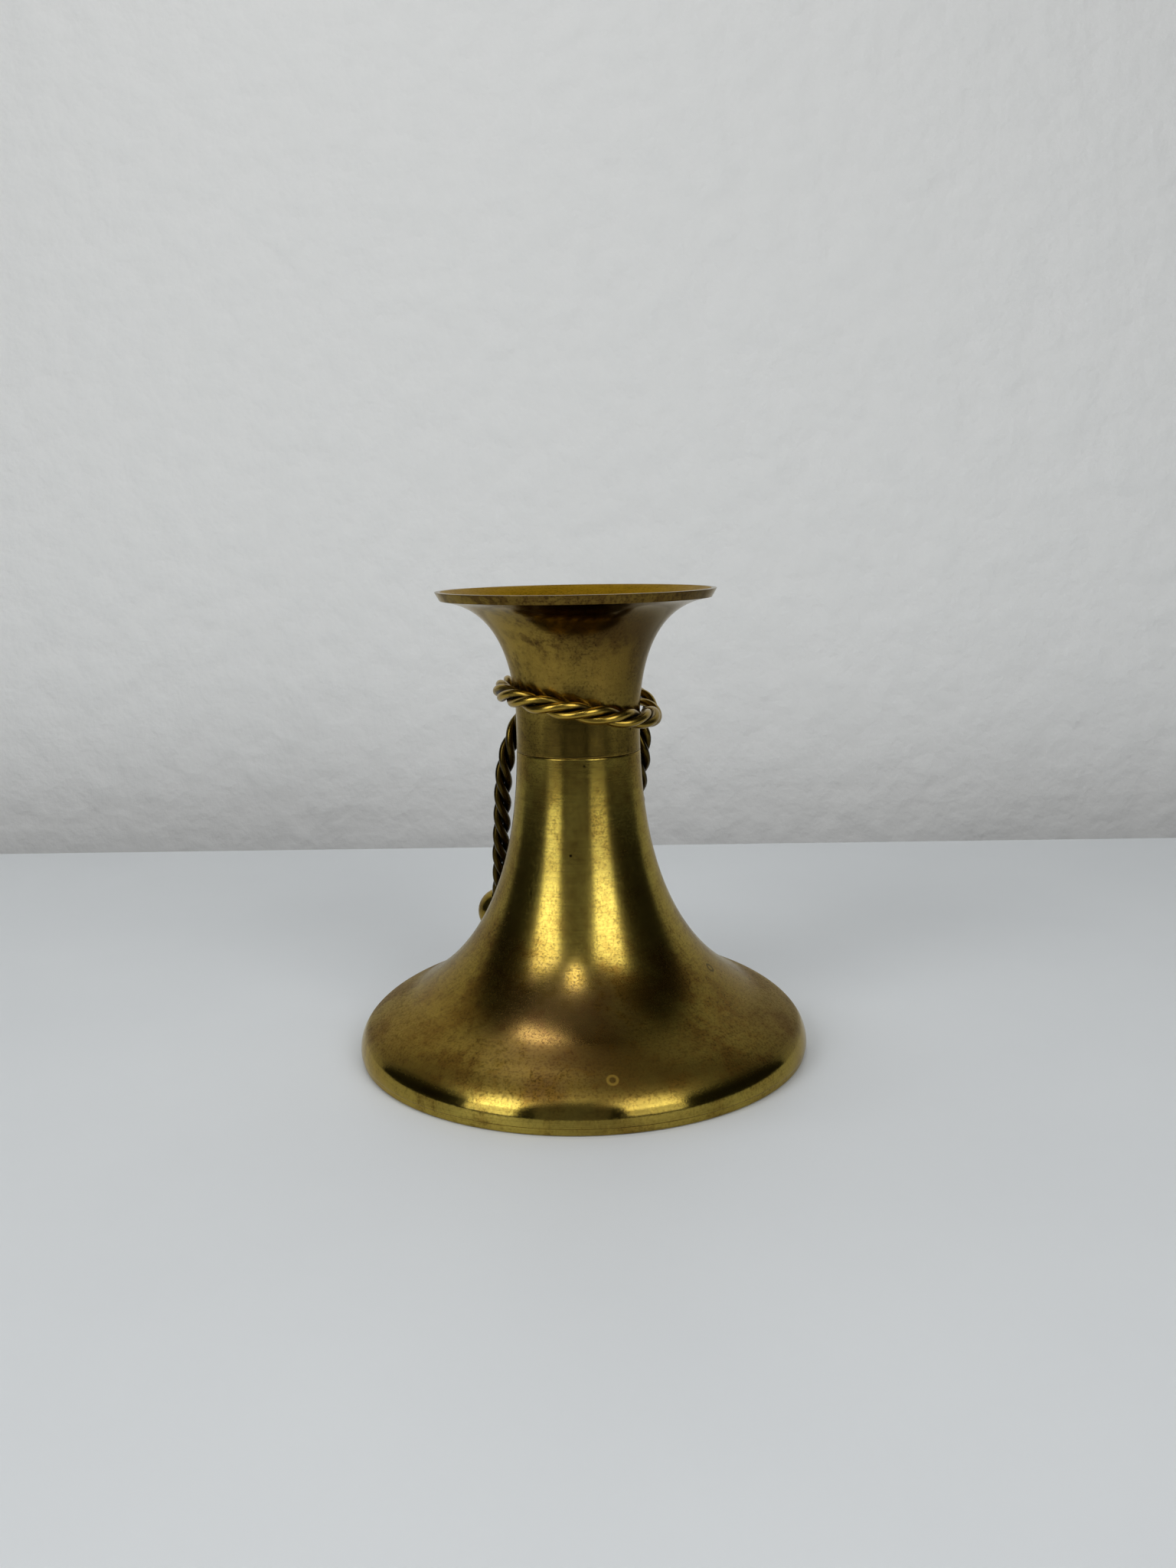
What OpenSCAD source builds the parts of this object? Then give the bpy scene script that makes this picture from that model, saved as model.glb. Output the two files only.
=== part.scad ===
// Trumpet-shaped candle holder: a turned cup screwed on a cast bell foot, with a rope of
// three twisted brass wires tied round the neck and a ball on each of its two tails.
// Millimetres. Z is up, the origin is the centre of the base, and the front faces -Y.
// Azimuths are turned from +X towards +Y, so 90 is the back and 270 the front.

/* [Outline] */
// Height from the table to the rim of the cup
holder_h = 100; // [95:0.5:110]
// Diameter of the neck at its narrowest
waist_d = 26.4; // [26:0.1:30]
// Height of the narrowest place on the neck
waist_h = 71.8; // [70:0.1:74]
// Length over which the neck's upright start leads the flare of the cup
cup_lead = 25.3; // [20:0.1:28]
// Length over which the rim's slope leads back into the flare of the cup
rim_lead = 2.7; // [2:0.1:5]
// Slope of the cup's underside where it meets the rim, in degrees
rim_slope = 12.5; // [8:0.1:16]
// Length over which the neck's upright start leads the flare of the foot
foot_lead = 17; // [14:0.1:20]
// Length over which the foot's slope leads back up into its flare
flare_lead = 28.2; // [25:0.1:30]

/* [Foot] */
// Widest diameter of the foot, at its bottom edge
foot_d = 98.2; // [96:0.2:110]
// Outer diameter of the ring that stands on the table
stand_d = 93.8; // [90:0.2:96]
// Width of the ring that stands on the table
stand_w = 1.8; // [1.4:0.1:2.4]
// Height of the rolled lip under the foot's widest edge
lip_h = 1.8; // [1.4:0.1:2.4]
// Depth of the hairline groove between the lip and the edge
groove = 0.25; // [0.1:0.05:0.4]
// Diameter at which the hollow flare turns into the rounded shoulder
shoulder_d = 80.4; // [78:0.2:84]
// Height of that turn above the table
shoulder_h = 11.7; // [11:0.1:12.5]
// Slope of the foot at that turn, in degrees
shoulder_slope = 24.4; // [22:0.2:28]
// Length over which that slope leads into the shoulder
shoulder_lead = 4.8; // [3:0.1:6]
// Height over which the shoulder comes down to the upright edge
edge_lead = 5; // [4:0.1:6]
// Wall of the cast foot
foot_wall = 2; // [1.6:0.1:2.4]

/* [Cup] */
// Height of the seam where the cup sits on the foot
seam_h = 66; // [64:0.1:68]
// Chamfer that draws the hairline of the seam
seam_chamfer = 0.15; // [0.1:0.05:0.3]
// Diameter of the rim at its top edge
rim_d = 59.1; // [56:0.1:64]
// Height of the rim's band
rim_h = 1.8; // [1.4:0.1:2.6]
// How far the band's lower edge lies inside its upper one
rim_taper = 0.8; // [0.3:0.1:1]
// Width of the flat lip on top of the rim
rim_lip = 1.1; // [0.8:0.1:1.6]
// Rounding of the rim's outer top edge
rim_edge = 0.15; // [0.1:0.05:0.3]
// Diameter of the candle
candle_d = 22; // [20:0.5:22]
// Play round the candle, on each side
candle_play = 0.3; // [0.1:0.05:0.4]
// Straight depth of the candle socket
socket_h = 17; // [14:0.5:18]
// Floor under the candle
floor_t = 2.4; // [2.4:0.1:3]
// Height over which the socket's wall leads the hollow of the cup
hollow_lead = 10; // [7:0.5:11]
// Length over which the lip's slope leads back into the hollow of the cup
lip_lead = 5; // [4:0.1:7]

/* [Fixing] */
// Diameter of the boss under the cup that centres it in the foot
boss_d = 11.8; // [10:0.1:13]
// Length of the boss
boss_h = 3.5; // [3:0.1:3.7]
// Thickness of the web across the foot's neck
web_t = 4; // [3.8:0.1:6]
// Chamfer under the web, where it meets the foot's wall
web_chamfer = 1.2; // [0.8:0.1:2]
// Play on each side of the boss and of the screw
fit_play = 0.05; // [0.03:0.01:0.1]
// Diameter of the screw
screw_d = 4; // [3:0.5:5]
// Length of the screw under its head
screw_l = 6; // [5.5:0.1:6.1]
// Room left past the screw's tip in its tapped hole
tip_room = 0.2; // [0.1:0.05:0.3]
// Diameter of the screw's head
head_d = 7.6; // [7:0.1:9]
// Height of the screw's head
head_h = 2.6; // [2.2:0.1:3.2]
// Width of the slot in the head
slot_w = 1; // [0.8:0.1:1.2]
// Depth of the slot in the head
slot_depth = 1.1; // [0.8:0.1:1.3]
// Diameter of the washer
washer_d = 16; // [15:0.5:18]
// Thickness of the washer
washer_t = 1; // [0.8:0.1:1.2]
// Play on each side of the screw in the washer
washer_play = 0.25; // [0.15:0.05:0.4]

/* [Rope] */
// Diameter of one brass wire of the rope
wire_d = 1.8; // [1.55:0.05:1.8]
// Distance from the rope's middle to the middle of each wire
lay_r = 1.15; // [1.15:0.01:1.2]
// Length of rope in which the wires go once round, in the knot and the tails
lay_pitch = 15.8; // [15:0.1:20]
// The same length in the loop, where the rope is pulled tighter round the neck
loop_pitch = 18.6; // [15:0.1:22]
// Number of wires in the rope
wires = 3; // [3:1:3]
// Gap between the neck and the rope where they are closest
rope_gap = 0.35; // [0.3:0.01:0.5]
// Height of the middle of the loop round the neck
loop_h = 76; // [74:0.1:77]
// Height by which the loop's left side lies above its right side
loop_fall = 6; // [4:0.1:7]
// Height of the middle of the knot at the back
knot_h = 74.4; // [73:0.1:75]
// Height by which the knot's left end lies above its middle
knot_rise = 0.65; // [0:0.05:1]
// Gap between the two ropes in the knot
knot_gap = 0.6; // [0.5:0.05:0.7]

/* [Tail balls] */
// Diameter of the ball on each tail
ball_d = 10.8; // [9:0.1:12]
// Gap between the ball and the foot's flare
ball_gap = 0.25; // [0.2:0.05:0.5]
// Depth of the hole that takes the rope's end
ball_hole = 3; // [2:0.1:4]
// Play round the rope in the ball's hole
hole_play = 0.08; // [0.05:0.01:0.15]

/* [Hidden] */

// Colours
foot_brass = "#a88d3c";
cup_brass = "#8f7738";
steel = "#8d8f90";
rope_brass = "#7a6330";
ball_brass = "#9c8436";

// Facets: sides of round solids, and steps along the outline and the rope
$fn = 96;
curve_steps = 26;
shoulder_steps = 16;
lip_steps = 6;
wire_sides = 8;
ring_share = 0.79;
ring_step = wire_d * ring_share;
slope_share = 0.125;
route_steps = 8;
overrun = 0.5;

// Radii and heights that follow from the sizes above
waist_r = waist_d / 2;
foot_r = foot_d / 2;
stand_r = stand_d / 2;
stand_in_r = stand_r - stand_w;
shoulder_r = shoulder_d / 2;
rim_r = rim_d / 2;
rim_low_r = rim_r - rim_taper;
rim_low_h = holder_h - rim_h;
socket_r = candle_d / 2 + candle_play;
socket_floor_h = seam_h + floor_t;
socket_top_h = socket_floor_h + socket_h;
web_low_h = seam_h - web_t;
washer_low_h = web_low_h - washer_t;
screw_tip_h = washer_low_h + screw_l;
boss_low_h = seam_h - boss_h;
boss_r = boss_d / 2;
screw_r = screw_d / 2;
rope_r = lay_r + wire_d / 2;
rope_d = rope_r * 2;
ball_r = ball_d / 2;

// Point at time t on a cubic curve through a and d, led by the handles b and c
function cubic(a, b, c, d, t) =
    a * pow(1 - t, 3) + b * 3 * pow(1 - t, 2) * t + c * 3 * (1 - t) * t * t + d * pow(t, 3);
function cubic_points(a, b, c, d, steps) = [for (i = [0:steps]) cubic(a, b, c, d, i / steps)];
function reversed(list) = [for (i = [len(list) - 1:-1:0]) list[i]];

// Rolled lip: its round corner lies under the groove, or over the ring where that is wider
lip_top = [foot_r - groove, lip_h - groove];
lip_corner = stand_r < lip_top[0] ? [lip_top[0], 0] : [stand_r, lip_top[1]];
lip_points = cubic_points([stand_r, 0], lip_corner, lip_corner, lip_top, lip_steps);

// Outside of the foot and the cup as [radius, height], from the edge up
waist = [waist_r, waist_h];
shoulder = [shoulder_r, shoulder_h];
edge = [foot_r, lip_h];
rim_low = [rim_low_r, rim_low_h];
shoulder_points = cubic_points(edge, edge + [0, edge_lead],
    shoulder + shoulder_lead * [cos(shoulder_slope), -sin(shoulder_slope)], shoulder, shoulder_steps);
flare_points = cubic_points(shoulder,
    shoulder + flare_lead * [-cos(shoulder_slope), sin(shoulder_slope)],
    waist - [0, foot_lead], waist, curve_steps);
cup_points = cubic_points(waist, waist + [0, cup_lead],
    rim_low - rim_lead * [cos(rim_slope), sin(rim_slope)], rim_low, curve_steps);
bell_points = concat(shoulder_points, [for (i = [1:len(flare_points) - 1]) flare_points[i]]);
outside = concat(bell_points, [for (i = [1:len(cup_points) - 1]) cup_points[i]]);
outside_table = [for (p = outside) [p[1], p[0]]];
function outside_r(height) = lookup(height, outside_table);

// Inside of the cup, from the socket's mouth out to the lip
socket_top = [socket_r, socket_top_h];
lip = [rim_r - rim_lip, holder_h];
hollow_points = cubic_points(socket_top, socket_top + [0, hollow_lead],
    lip - lip_lead * [cos(rim_slope), sin(rim_slope)], lip, curve_steps);

// Inside of the foot: the outside moved inwards by the wall, with its bottom kept upright
function unit(v) = v / norm(v);
function inward(a, b) = let (u = unit(b - a)) [-u[1], u[0]];
function moved_in(list, distance) = [for (i = [0:len(list) - 1])
    let (back = list[max(i - 1, 0)], ahead = list[min(i + 1, len(list) - 1)])
    list[i] + distance * inward(back, ahead)];
bell_inside = [for (p = moved_in(bell_points, foot_wall))
    if (p[1] < web_low_h - web_chamfer) [min(p[0], stand_in_r), p[1]]];
function bell_inside_r(height) = outside_r(height) - foot_wall;

// Cast foot: a bell that is open below, closed by a bored web at the seam
module bell_foot() {
    color(foot_brass)
    rotate_extrude()
    polygon(concat(
        [[stand_in_r, 0]],
        lip_points,
        [for (p = bell_points) if (p[1] < seam_h - seam_chamfer) p],
        [[outside_r(seam_h - seam_chamfer), seam_h - seam_chamfer],
            [outside_r(seam_h) - seam_chamfer, seam_h],
            [boss_r + fit_play, seam_h],
            [boss_r + fit_play, web_low_h],
            [bell_inside_r(web_low_h) - web_chamfer, web_low_h],
            [bell_inside_r(web_low_h - web_chamfer), web_low_h - web_chamfer]],
        reversed(bell_inside)
    ));
}

// Turned cup: drip rim, candle socket and the boss that centres it in the foot
module candle_cup() {
    color(cup_brass)
    difference() {
        rotate_extrude()
        polygon(concat(
            [[0, boss_low_h], [boss_r, boss_low_h], [boss_r, seam_h],
                [outside_r(seam_h) - seam_chamfer, seam_h],
                [outside_r(seam_h + seam_chamfer), seam_h + seam_chamfer]],
            [for (p = outside) if (p[1] > seam_h + seam_chamfer) p],
            [[rim_r, holder_h - rim_edge], [rim_r - rim_edge, holder_h]],
            reversed(hollow_points),
            [[socket_r, socket_floor_h], [0, socket_floor_h]]
        ));
        translate([0, 0, boss_low_h - overrun])
        cylinder(r = screw_r + fit_play, h = screw_tip_h + tip_room - boss_low_h + overrun);
    }
}

// Screw from below, through the washer into the boss, with a slotted head
module cup_screw() {
    color(steel)
    difference() {
        union() {
            translate([0, 0, washer_low_h - head_h])
            cylinder(r = head_d / 2, h = head_h);
            translate([0, 0, washer_low_h])
            cylinder(r = screw_r, h = screw_l);
        }
        translate([-head_d, -slot_w / 2, washer_low_h - head_h - overrun])
        cube([head_d * 2, slot_w, slot_depth + overrun]);
    }
}

// Washer that carries the screw's head across the web's bore
module cup_washer() {
    color(steel)
    translate([0, 0, washer_low_h])
    difference() {
        cylinder(r = washer_d / 2, h = washer_t);
        translate([0, 0, -overrun])
        cylinder(r = screw_r + washer_play, h = washer_t + overrun * 2);
    }
}

// Places round the neck, and the radius at which the rope lies on the outside
function around(azimuth, radius, height) =
    [radius * cos(azimuth), radius * sin(azimuth), height];
function hug_r(height) = outside_r(height) + rope_gap + rope_r;

// The loop: a level circle seen from above, high on the left and low on the right. Steps
// along it and the start of the lay are in degrees.
loop_r = hug_r(loop_h + loop_fall / 2);
loop_step = 15;
lay_start = 23;
function loop_point(azimuth) = around(azimuth, loop_r, loop_h - loop_fall / 2 * cos(azimuth));

// The knot: both ropes wind one and a half times round an axis that follows the neck. Its
// half angle, start and turn are in degrees.
knot_half_angle = 40;
knot_start = 100;
knot_turn = 540;
knot_steps = 12;
knot_spread = rope_r + knot_gap / 2;
knot_r = hug_r(knot_h) + knot_spread;
function knot_point(share, side) =
    let (azimuth = 90 + knot_half_angle * (1 - 2 * share), turn = knot_start - knot_turn * share)
    around(azimuth, knot_r + side * knot_spread * cos(turn),
        knot_h + knot_rise * (1 - 2 * share) + side * knot_spread * sin(turn));

// Where the rope runs from the loop to the knot: azimuth, share of the way out to the knot's
// axis, and how far it rises above the loop as a share of its own diameter
left_run_shares = [[165, 0.04, 0.12], [152, 0.14, 0.22], [141, 0.32, 0.06]];
right_run_shares = [[12, 0.05, 0.07], [24, 0.3, 0.3], [35, 0.7, 0.6]];
function run_points(shares) = [for (row = shares)
    around(row[0], loop_r + (knot_r - loop_r) * row[1], loop_point(row[0])[2] + rope_d * row[2])];

// Tails from the knot down to the balls: azimuth, share of the knot's height, and how far
// the rope stands off the metal as a share of its own diameter
left_tail_shares = [[131.8, 0.951, 0.94], [135.6, 0.912, 1.06], [138.7, 0.856, 1.32],
    [138.8, 0.779, 1.6], [136.8, 0.706, 1.79], [134.7, 0.625, 1.9], [132.7, 0.538, 1.92],
    [130.2, 0.457, 1.82], [128.6, 0.404, 1.71]];
right_tail_shares = [[45, 0.944, 0.76], [41, 0.918, 0.74], [39.6, 0.871, 0.69],
    [41, 0.823, 0.67], [44.5, 0.775, 0.69], [49, 0.703, 0.74], [54.5, 0.618, 0.83],
    [59.5, 0.538, 0.92], [64, 0.464, 1.0]];
function tail_points(shares) = [for (row = shares)
    let (height = knot_h * row[1]) around(row[0], hug_r(height) + rope_d * row[2], height)];

// Each ball rests near the flare: azimuth, and the height of the nearest metal as a share
// of the knot's height
left_ball_shares = [125.3, 0.2486];
right_ball_shares = [71, 0.3095];
function flare_normal(height) =
    let (reach = wire_d * slope_share,
        rise = (outside_r(height + reach) - outside_r(height - reach)) / (reach * 2))
    unit([1, -rise]);
function ball_centre(shares) =
    let (height = knot_h * shares[1],
        away = [outside_r(height), height] + (ball_r + ball_gap) * flare_normal(height))
    around(shares[0], away[0], away[1]);
left_tail = tail_points(left_tail_shares);
right_tail = tail_points(right_tail_shares);
left_ball = ball_centre(left_ball_shares);
right_ball = ball_centre(right_ball_shares);

// The rope runs straight into a ball: just outside the hole, at its mouth and at its floor
function ball_entry(ball, tail) =
    let (up = unit(tail[len(tail) - 1] - ball))
    [ball + up * (ball_r + rope_r), ball + up * ball_r, ball + up * (ball_r - ball_hole)];

// Points of the rope's middle line, from the right ball round the neck to the left ball
loop_points = [for (azimuth = [180:loop_step:360]) loop_point(azimuth)];
route = concat(
    reversed(ball_entry(right_ball, right_tail)),
    reversed(right_tail),
    [for (i = [knot_steps:-1:0]) knot_point(i / knot_steps, 1)],
    reversed(run_points(left_run_shares)),
    loop_points,
    run_points(right_run_shares),
    [for (i = [knot_steps:-1:0]) knot_point(i / knot_steps, -1)],
    left_tail,
    ball_entry(left_ball, left_tail)
);

// A smooth line through the route, then points at even distances along it
function spline(a, b, c, d, t) = (b * 2 + (c - a) * t + (a * 2 - b * 5 + c * 4 - d) * t * t
    + (b * 3 - a - c * 3 + d) * t * t * t) / 2;
last_stop = len(route) - 1;
fine_line = concat([for (i = [0:last_stop - 1], j = [0:route_steps - 1])
    spline(i == 0 ? route[0] * 2 - route[1] : route[i - 1], route[i], route[i + 1],
        i == last_stop - 1 ? route[last_stop] * 2 - route[i] : route[i + 2], j / route_steps)],
    [route[last_stop]]);
fine_last = len(fine_line) - 1;
run_lengths = [for (i = 0, run = 0; i <= fine_last;
    run = run + (i < fine_last ? norm(fine_line[i + 1] - fine_line[i]) : 0), i = i + 1) run];
rope_l = run_lengths[fine_last];
run_table = [for (i = [0:fine_last]) [run_lengths[i], i]];
rings = ceil(rope_l / ring_step);
function line_point(run) =
    let (place = lookup(run, run_table), i = min(floor(place), fine_last - 1))
    fine_line[i] + (fine_line[i + 1] - fine_line[i]) * (place - i);
even_line = [for (i = [0:rings]) line_point(rope_l * i / rings)];
function eased(line) = [for (i = [0:rings]) i == 0 || i == rings ? line[i]
    : (line[i - 1] + line[i] * 2 + line[i + 1]) / 4];
middle_line = eased(eased(even_line));

// Directions along the rope at each ring, and square to it, carried along without twist
function along(line, i) = unit(line[min(i + 1, len(line) - 1)] - line[max(i - 1, 0)]);
function square_to(v, direction) = unit(v - (v * direction) * direction);
middle_along = [for (i = [0:rings]) along(middle_line, i)];
middle_out = [for (i = 0, out = square_to(middle_line[0], middle_along[0]); i <= rings;
    out = square_to(out, middle_along[min(i + 1, rings)]), i = i + 1) out];

// How far the wires have gone round at each length of rope, with a longer lay in the loop
loop_first = len(route) - len(ball_entry(left_ball, left_tail)) - len(left_tail) - knot_steps - 1
    - len(right_run_shares) - len(loop_points);
loop_from = run_lengths[loop_first * route_steps];
loop_to = run_lengths[(loop_first + len(loop_points) - 1) * route_steps];
loop_turn = 360 * (loop_to - loop_from) / loop_pitch;
lay_table = [[0, 0], [loop_from, 360 * loop_from / lay_pitch],
    [loop_to, 360 * loop_from / lay_pitch + loop_turn],
    [rope_l, 360 * (rope_l - loop_to + loop_from) / lay_pitch + loop_turn]];

// Middle of one wire: a left-handed helix round the rope's middle line
function wire_offset(i, start) =
    let (turn = start - lookup(rope_l * i / rings, lay_table))
    cos(turn) * middle_out[i] + sin(turn) * cross(middle_along[i], middle_out[i]);
function wire_start(number) = lay_start + 360 * number / wires;
function wire_line(start) = [for (i = [0:rings]) middle_line[i] + lay_r * wire_offset(i, start)];

// Least gap of a wire to itself, measured between rings that are over a turn of the lay apart
function self_gap(line) = let (apart = ceil(lay_pitch / ring_step))
    min([for (i = [0:rings - apart], k = [i + apart:rings]) norm(line[k] - line[i])]) - wire_d;
echo(least_gap = min([for (number = [0:wires - 1]) self_gap(wire_line(wire_start(number)))]));

// One wire as a closed tube of triangles with flat ends
module rope_wire(number) {
    start = wire_start(number);
    line = wire_line(start);
    corners = [for (i = [0:rings], k = [0:wire_sides - 1])
        let (forward = i == 0 || i == rings ? middle_along[i] : along(line, i),
            outward = square_to(wire_offset(i, start), forward),
            turn = 360 * k / wire_sides)
        line[i] + wire_d / 2 * (cos(turn) * outward + sin(turn) * cross(forward, outward))];
    sides = [for (i = [0:rings - 1], k = [0:wire_sides - 1])
        let (a = i * wire_sides + k, b = i * wire_sides + (k + 1) % wire_sides)
        each [[a, a + wire_sides, b], [b, a + wire_sides, b + wire_sides]]];
    near_end = [for (k = [1:wire_sides - 2]) [0, k, k + 1]];
    last_ring = rings * wire_sides;
    far_end = [for (k = [1:wire_sides - 2]) [last_ring, last_ring + k + 1, last_ring + k]];
    color(rope_brass)
    polyhedron(corners, concat(sides, near_end, far_end));
}

// Brass ball, drilled where the rope's end goes in
module tail_ball(centre, tail) {
    up = unit(tail[len(tail) - 1] - centre);
    color(ball_brass)
    translate(centre)
    rotate([0, acos(up[2]), atan2(up[1], up[0])])
    difference() {
        sphere(r = ball_r);
        translate([0, 0, ball_r - ball_hole - hole_play])
        cylinder(r = rope_r + hole_play, h = ball_hole + hole_play + overrun);
    }
}
module left_tail_ball() { tail_ball(left_ball, left_tail); }
module right_tail_ball() { tail_ball(right_ball, right_tail); }

bell_foot();
candle_cup();
cup_screw();
cup_washer();
rope_wire(0);  // rope_wire_1
rope_wire(1);  // rope_wire_2
rope_wire(2);  // rope_wire_3
left_tail_ball();
right_tail_ball();
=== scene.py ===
"""Looks of a trumpet-shaped brass candle holder with a rope of twisted wire round its neck.

Sizes are in millimetres and become metres as each mesh is made. Z is up, the origin is the
centre of the base, and the front faces -Y.
"""

from __future__ import annotations

import logging
import math
from dataclasses import dataclass, field
from enum import Enum

import bpy
from mathutils import Matrix, Quaternion, Vector

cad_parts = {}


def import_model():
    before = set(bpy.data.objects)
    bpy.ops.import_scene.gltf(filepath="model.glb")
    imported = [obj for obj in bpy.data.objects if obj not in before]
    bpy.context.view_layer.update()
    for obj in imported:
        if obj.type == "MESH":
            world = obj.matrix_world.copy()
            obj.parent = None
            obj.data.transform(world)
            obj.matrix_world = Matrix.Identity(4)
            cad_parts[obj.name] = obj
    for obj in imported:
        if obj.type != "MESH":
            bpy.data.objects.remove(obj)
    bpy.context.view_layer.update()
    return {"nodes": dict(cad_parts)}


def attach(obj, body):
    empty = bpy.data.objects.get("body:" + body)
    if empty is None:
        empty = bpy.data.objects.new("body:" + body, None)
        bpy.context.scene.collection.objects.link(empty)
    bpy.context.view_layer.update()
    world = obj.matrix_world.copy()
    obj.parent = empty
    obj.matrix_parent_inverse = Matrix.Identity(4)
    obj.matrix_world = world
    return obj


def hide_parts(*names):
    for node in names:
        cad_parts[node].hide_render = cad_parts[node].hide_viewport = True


LOG = logging.getLogger("candle_holder")
MM = 0.001
# Lengths in millimetres below which two points are one, in an outline and in a turned mesh
SAME_POINT = 1e-6
WELD = 0.002
# Longest share of an edge that the rounding of its corner takes, and the rounding's steps
EDGE_SHARE = 0.45
CORNER_STEPS = 4
Point = tuple[float, float]
Triple = tuple[float, float, float]


# Small helpers


def linear(hex_colour: str) -> tuple[float, float, float, float]:
    """Turn an sRGB hex colour into linear RGBA.

    Args:
        hex_colour: Six hex digits with a leading hash.

    Returns:
        The linear colour with an alpha of 1.
    """
    parts = [int(hex_colour[i : i + 2], 16) / 255 for i in (1, 3, 5)]
    r, g, b = (p / 12.92 if p <= 0.04045 else ((p + 0.055) / 1.055) ** 2.4 for p in parts)
    return (r, g, b, 1.0)


def add_node(tree: bpy.types.NodeTree, kind: str, inputs: dict | None = None,
             ramp: list | None = None, **settings: object) -> bpy.types.Node:
    """Add a node with its settings, values and links.

    Args:
        tree: The node tree that gets the node.
        kind: Blender's name for the node type.
        inputs: Values, or sockets to link from, by the input's name or number.
        ramp: Stops of a colour ramp as (place, linear colour).
        **settings: Properties to set on the node first.

    Returns:
        The new node.
    """
    node = tree.nodes.new(kind)
    for name, value in settings.items():
        setattr(node, name, value)
    for key, value in (inputs or {}).items():
        if isinstance(value, bpy.types.NodeSocket):
            tree.links.new(value, node.inputs[key])
        else:
            node.inputs[key].default_value = value
    if ramp:
        stops = node.color_ramp.elements
        while len(stops) < len(ramp):
            stops.new(0.5)
        for stop, (place, colour) in zip(stops, ramp):
            stop.position = place
            stop.color = colour
    return node


def cubic(a: Vector, b: Vector, c: Vector, d: Vector, steps: int) -> list[Vector]:
    """Points on a cubic curve from a to d, led by the handles b and c.

    Args:
        a: Start of the curve.
        b: Handle of the start.
        c: Handle of the end.
        d: End of the curve.
        steps: Number of stretches the curve is cut into.

    Returns:
        The points, both ends included.
    """
    return [a * (1 - t) ** 3 + b * 3 * (1 - t) ** 2 * t + c * 3 * (1 - t) * t * t + d * t**3
            for t in (i / steps for i in range(steps + 1))]


def softened(outline: list[Vector], radius: float, closed: bool = True,
             sharp_above: float = 20.0) -> list[Vector]:
    """Round the sharp corners of an outline with a short curve each.

    Args:
        outline: Points of the outline as (radius, height).
        radius: How far from a corner its rounding starts.
        closed: Whether the last point joins the first.
        sharp_above: Turns above this many degrees are rounded.

    Returns:
        The outline with its corners rounded.
    """
    result: list[Vector] = []
    count = len(outline)
    for i, corner in enumerate(outline):
        if not closed and i in (0, count - 1):
            result.append(corner)
            continue
        before, after = outline[i - 1], outline[(i + 1) % count]
        back, ahead = before - corner, after - corner
        if min(back.length, ahead.length) < SAME_POINT:
            continue
        turn = 180 - math.degrees(back.angle(ahead))
        if turn < sharp_above or corner.x < SAME_POINT:
            result.append(corner)
            continue
        start = corner + back.normalized() * min(radius, back.length * EDGE_SHARE)
        end = corner + ahead.normalized() * min(radius, ahead.length * EDGE_SHARE)
        result += [start * (1 - t) ** 2 + corner * 2 * t * (1 - t) + end * t * t
                   for t in (i / CORNER_STEPS for i in range(CORNER_STEPS + 1))]
    return result


def deselect_everything() -> None:
    """Leave edit mode and deselect every object."""
    if bpy.context.object and bpy.context.object.mode != "OBJECT":
        bpy.ops.object.mode_set(mode="OBJECT")
    bpy.ops.object.select_all(action="DESELECT")


def spun(name: str, outline: list[Vector], steps: int, closed: bool = True) -> bpy.types.Object:
    """Turn an outline round the Z axis, as on a lathe.

    Args:
        name: Name of the new object.
        outline: Points as (radius, height) in millimetres.
        steps: Sides of the turned piece.
        closed: Whether the last point joins the first. An open outline ends on the axis.

    Returns:
        The turned object, at the origin, with its faces pointing outwards.
    """
    deselect_everything()
    bpy.ops.mesh.primitive_plane_add(size=MM, location=(0, 0, 0))
    piece = bpy.context.object
    piece.name = piece.data.name = name
    bpy.ops.object.mode_set(mode="EDIT")
    bpy.ops.mesh.select_all(action="SELECT")
    bpy.ops.mesh.merge(type="CENTER")
    points = [Vector((p.x * MM, 0, p.y * MM)) for p in outline]
    bpy.ops.transform.translate(value=points[0])
    for before, after in zip(points, points[1:]):
        bpy.ops.mesh.extrude_region_move(TRANSFORM_OT_translate={"value": after - before})
    bpy.ops.mesh.select_all(action="SELECT")
    if closed:
        bpy.ops.object.mode_set(mode="OBJECT")
        last = len(piece.data.vertices) - 1
        for i, vertex in enumerate(piece.data.vertices):
            vertex.select = i in (0, last)
        for edge in piece.data.edges:
            edge.select = False
        bpy.ops.object.mode_set(mode="EDIT")
        bpy.ops.mesh.select_mode(type="VERT")
        bpy.ops.mesh.edge_face_add()
        bpy.ops.mesh.select_all(action="SELECT")
    bpy.ops.mesh.spin(steps=steps, angle=math.tau, center=(0, 0, 0), axis=(0, 0, 1))
    bpy.ops.mesh.select_all(action="SELECT")
    bpy.ops.mesh.remove_doubles(threshold=MM * WELD)
    bpy.ops.mesh.normals_make_consistent(inside=False)
    bpy.ops.object.mode_set(mode="OBJECT")
    return piece


def smooth(piece: bpy.types.Object, angle: float = 32.0) -> None:
    """Shade a piece smooth, with edges sharper than the angle kept.

    Args:
        piece: The piece to shade.
        angle: Largest angle that is smoothed, in degrees.
    """
    deselect_everything()
    piece.select_set(True)
    bpy.context.view_layer.objects.active = piece
    bpy.ops.object.shade_smooth_by_angle(angle=math.radians(angle))
    deselect_everything()


# Finishes


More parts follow.
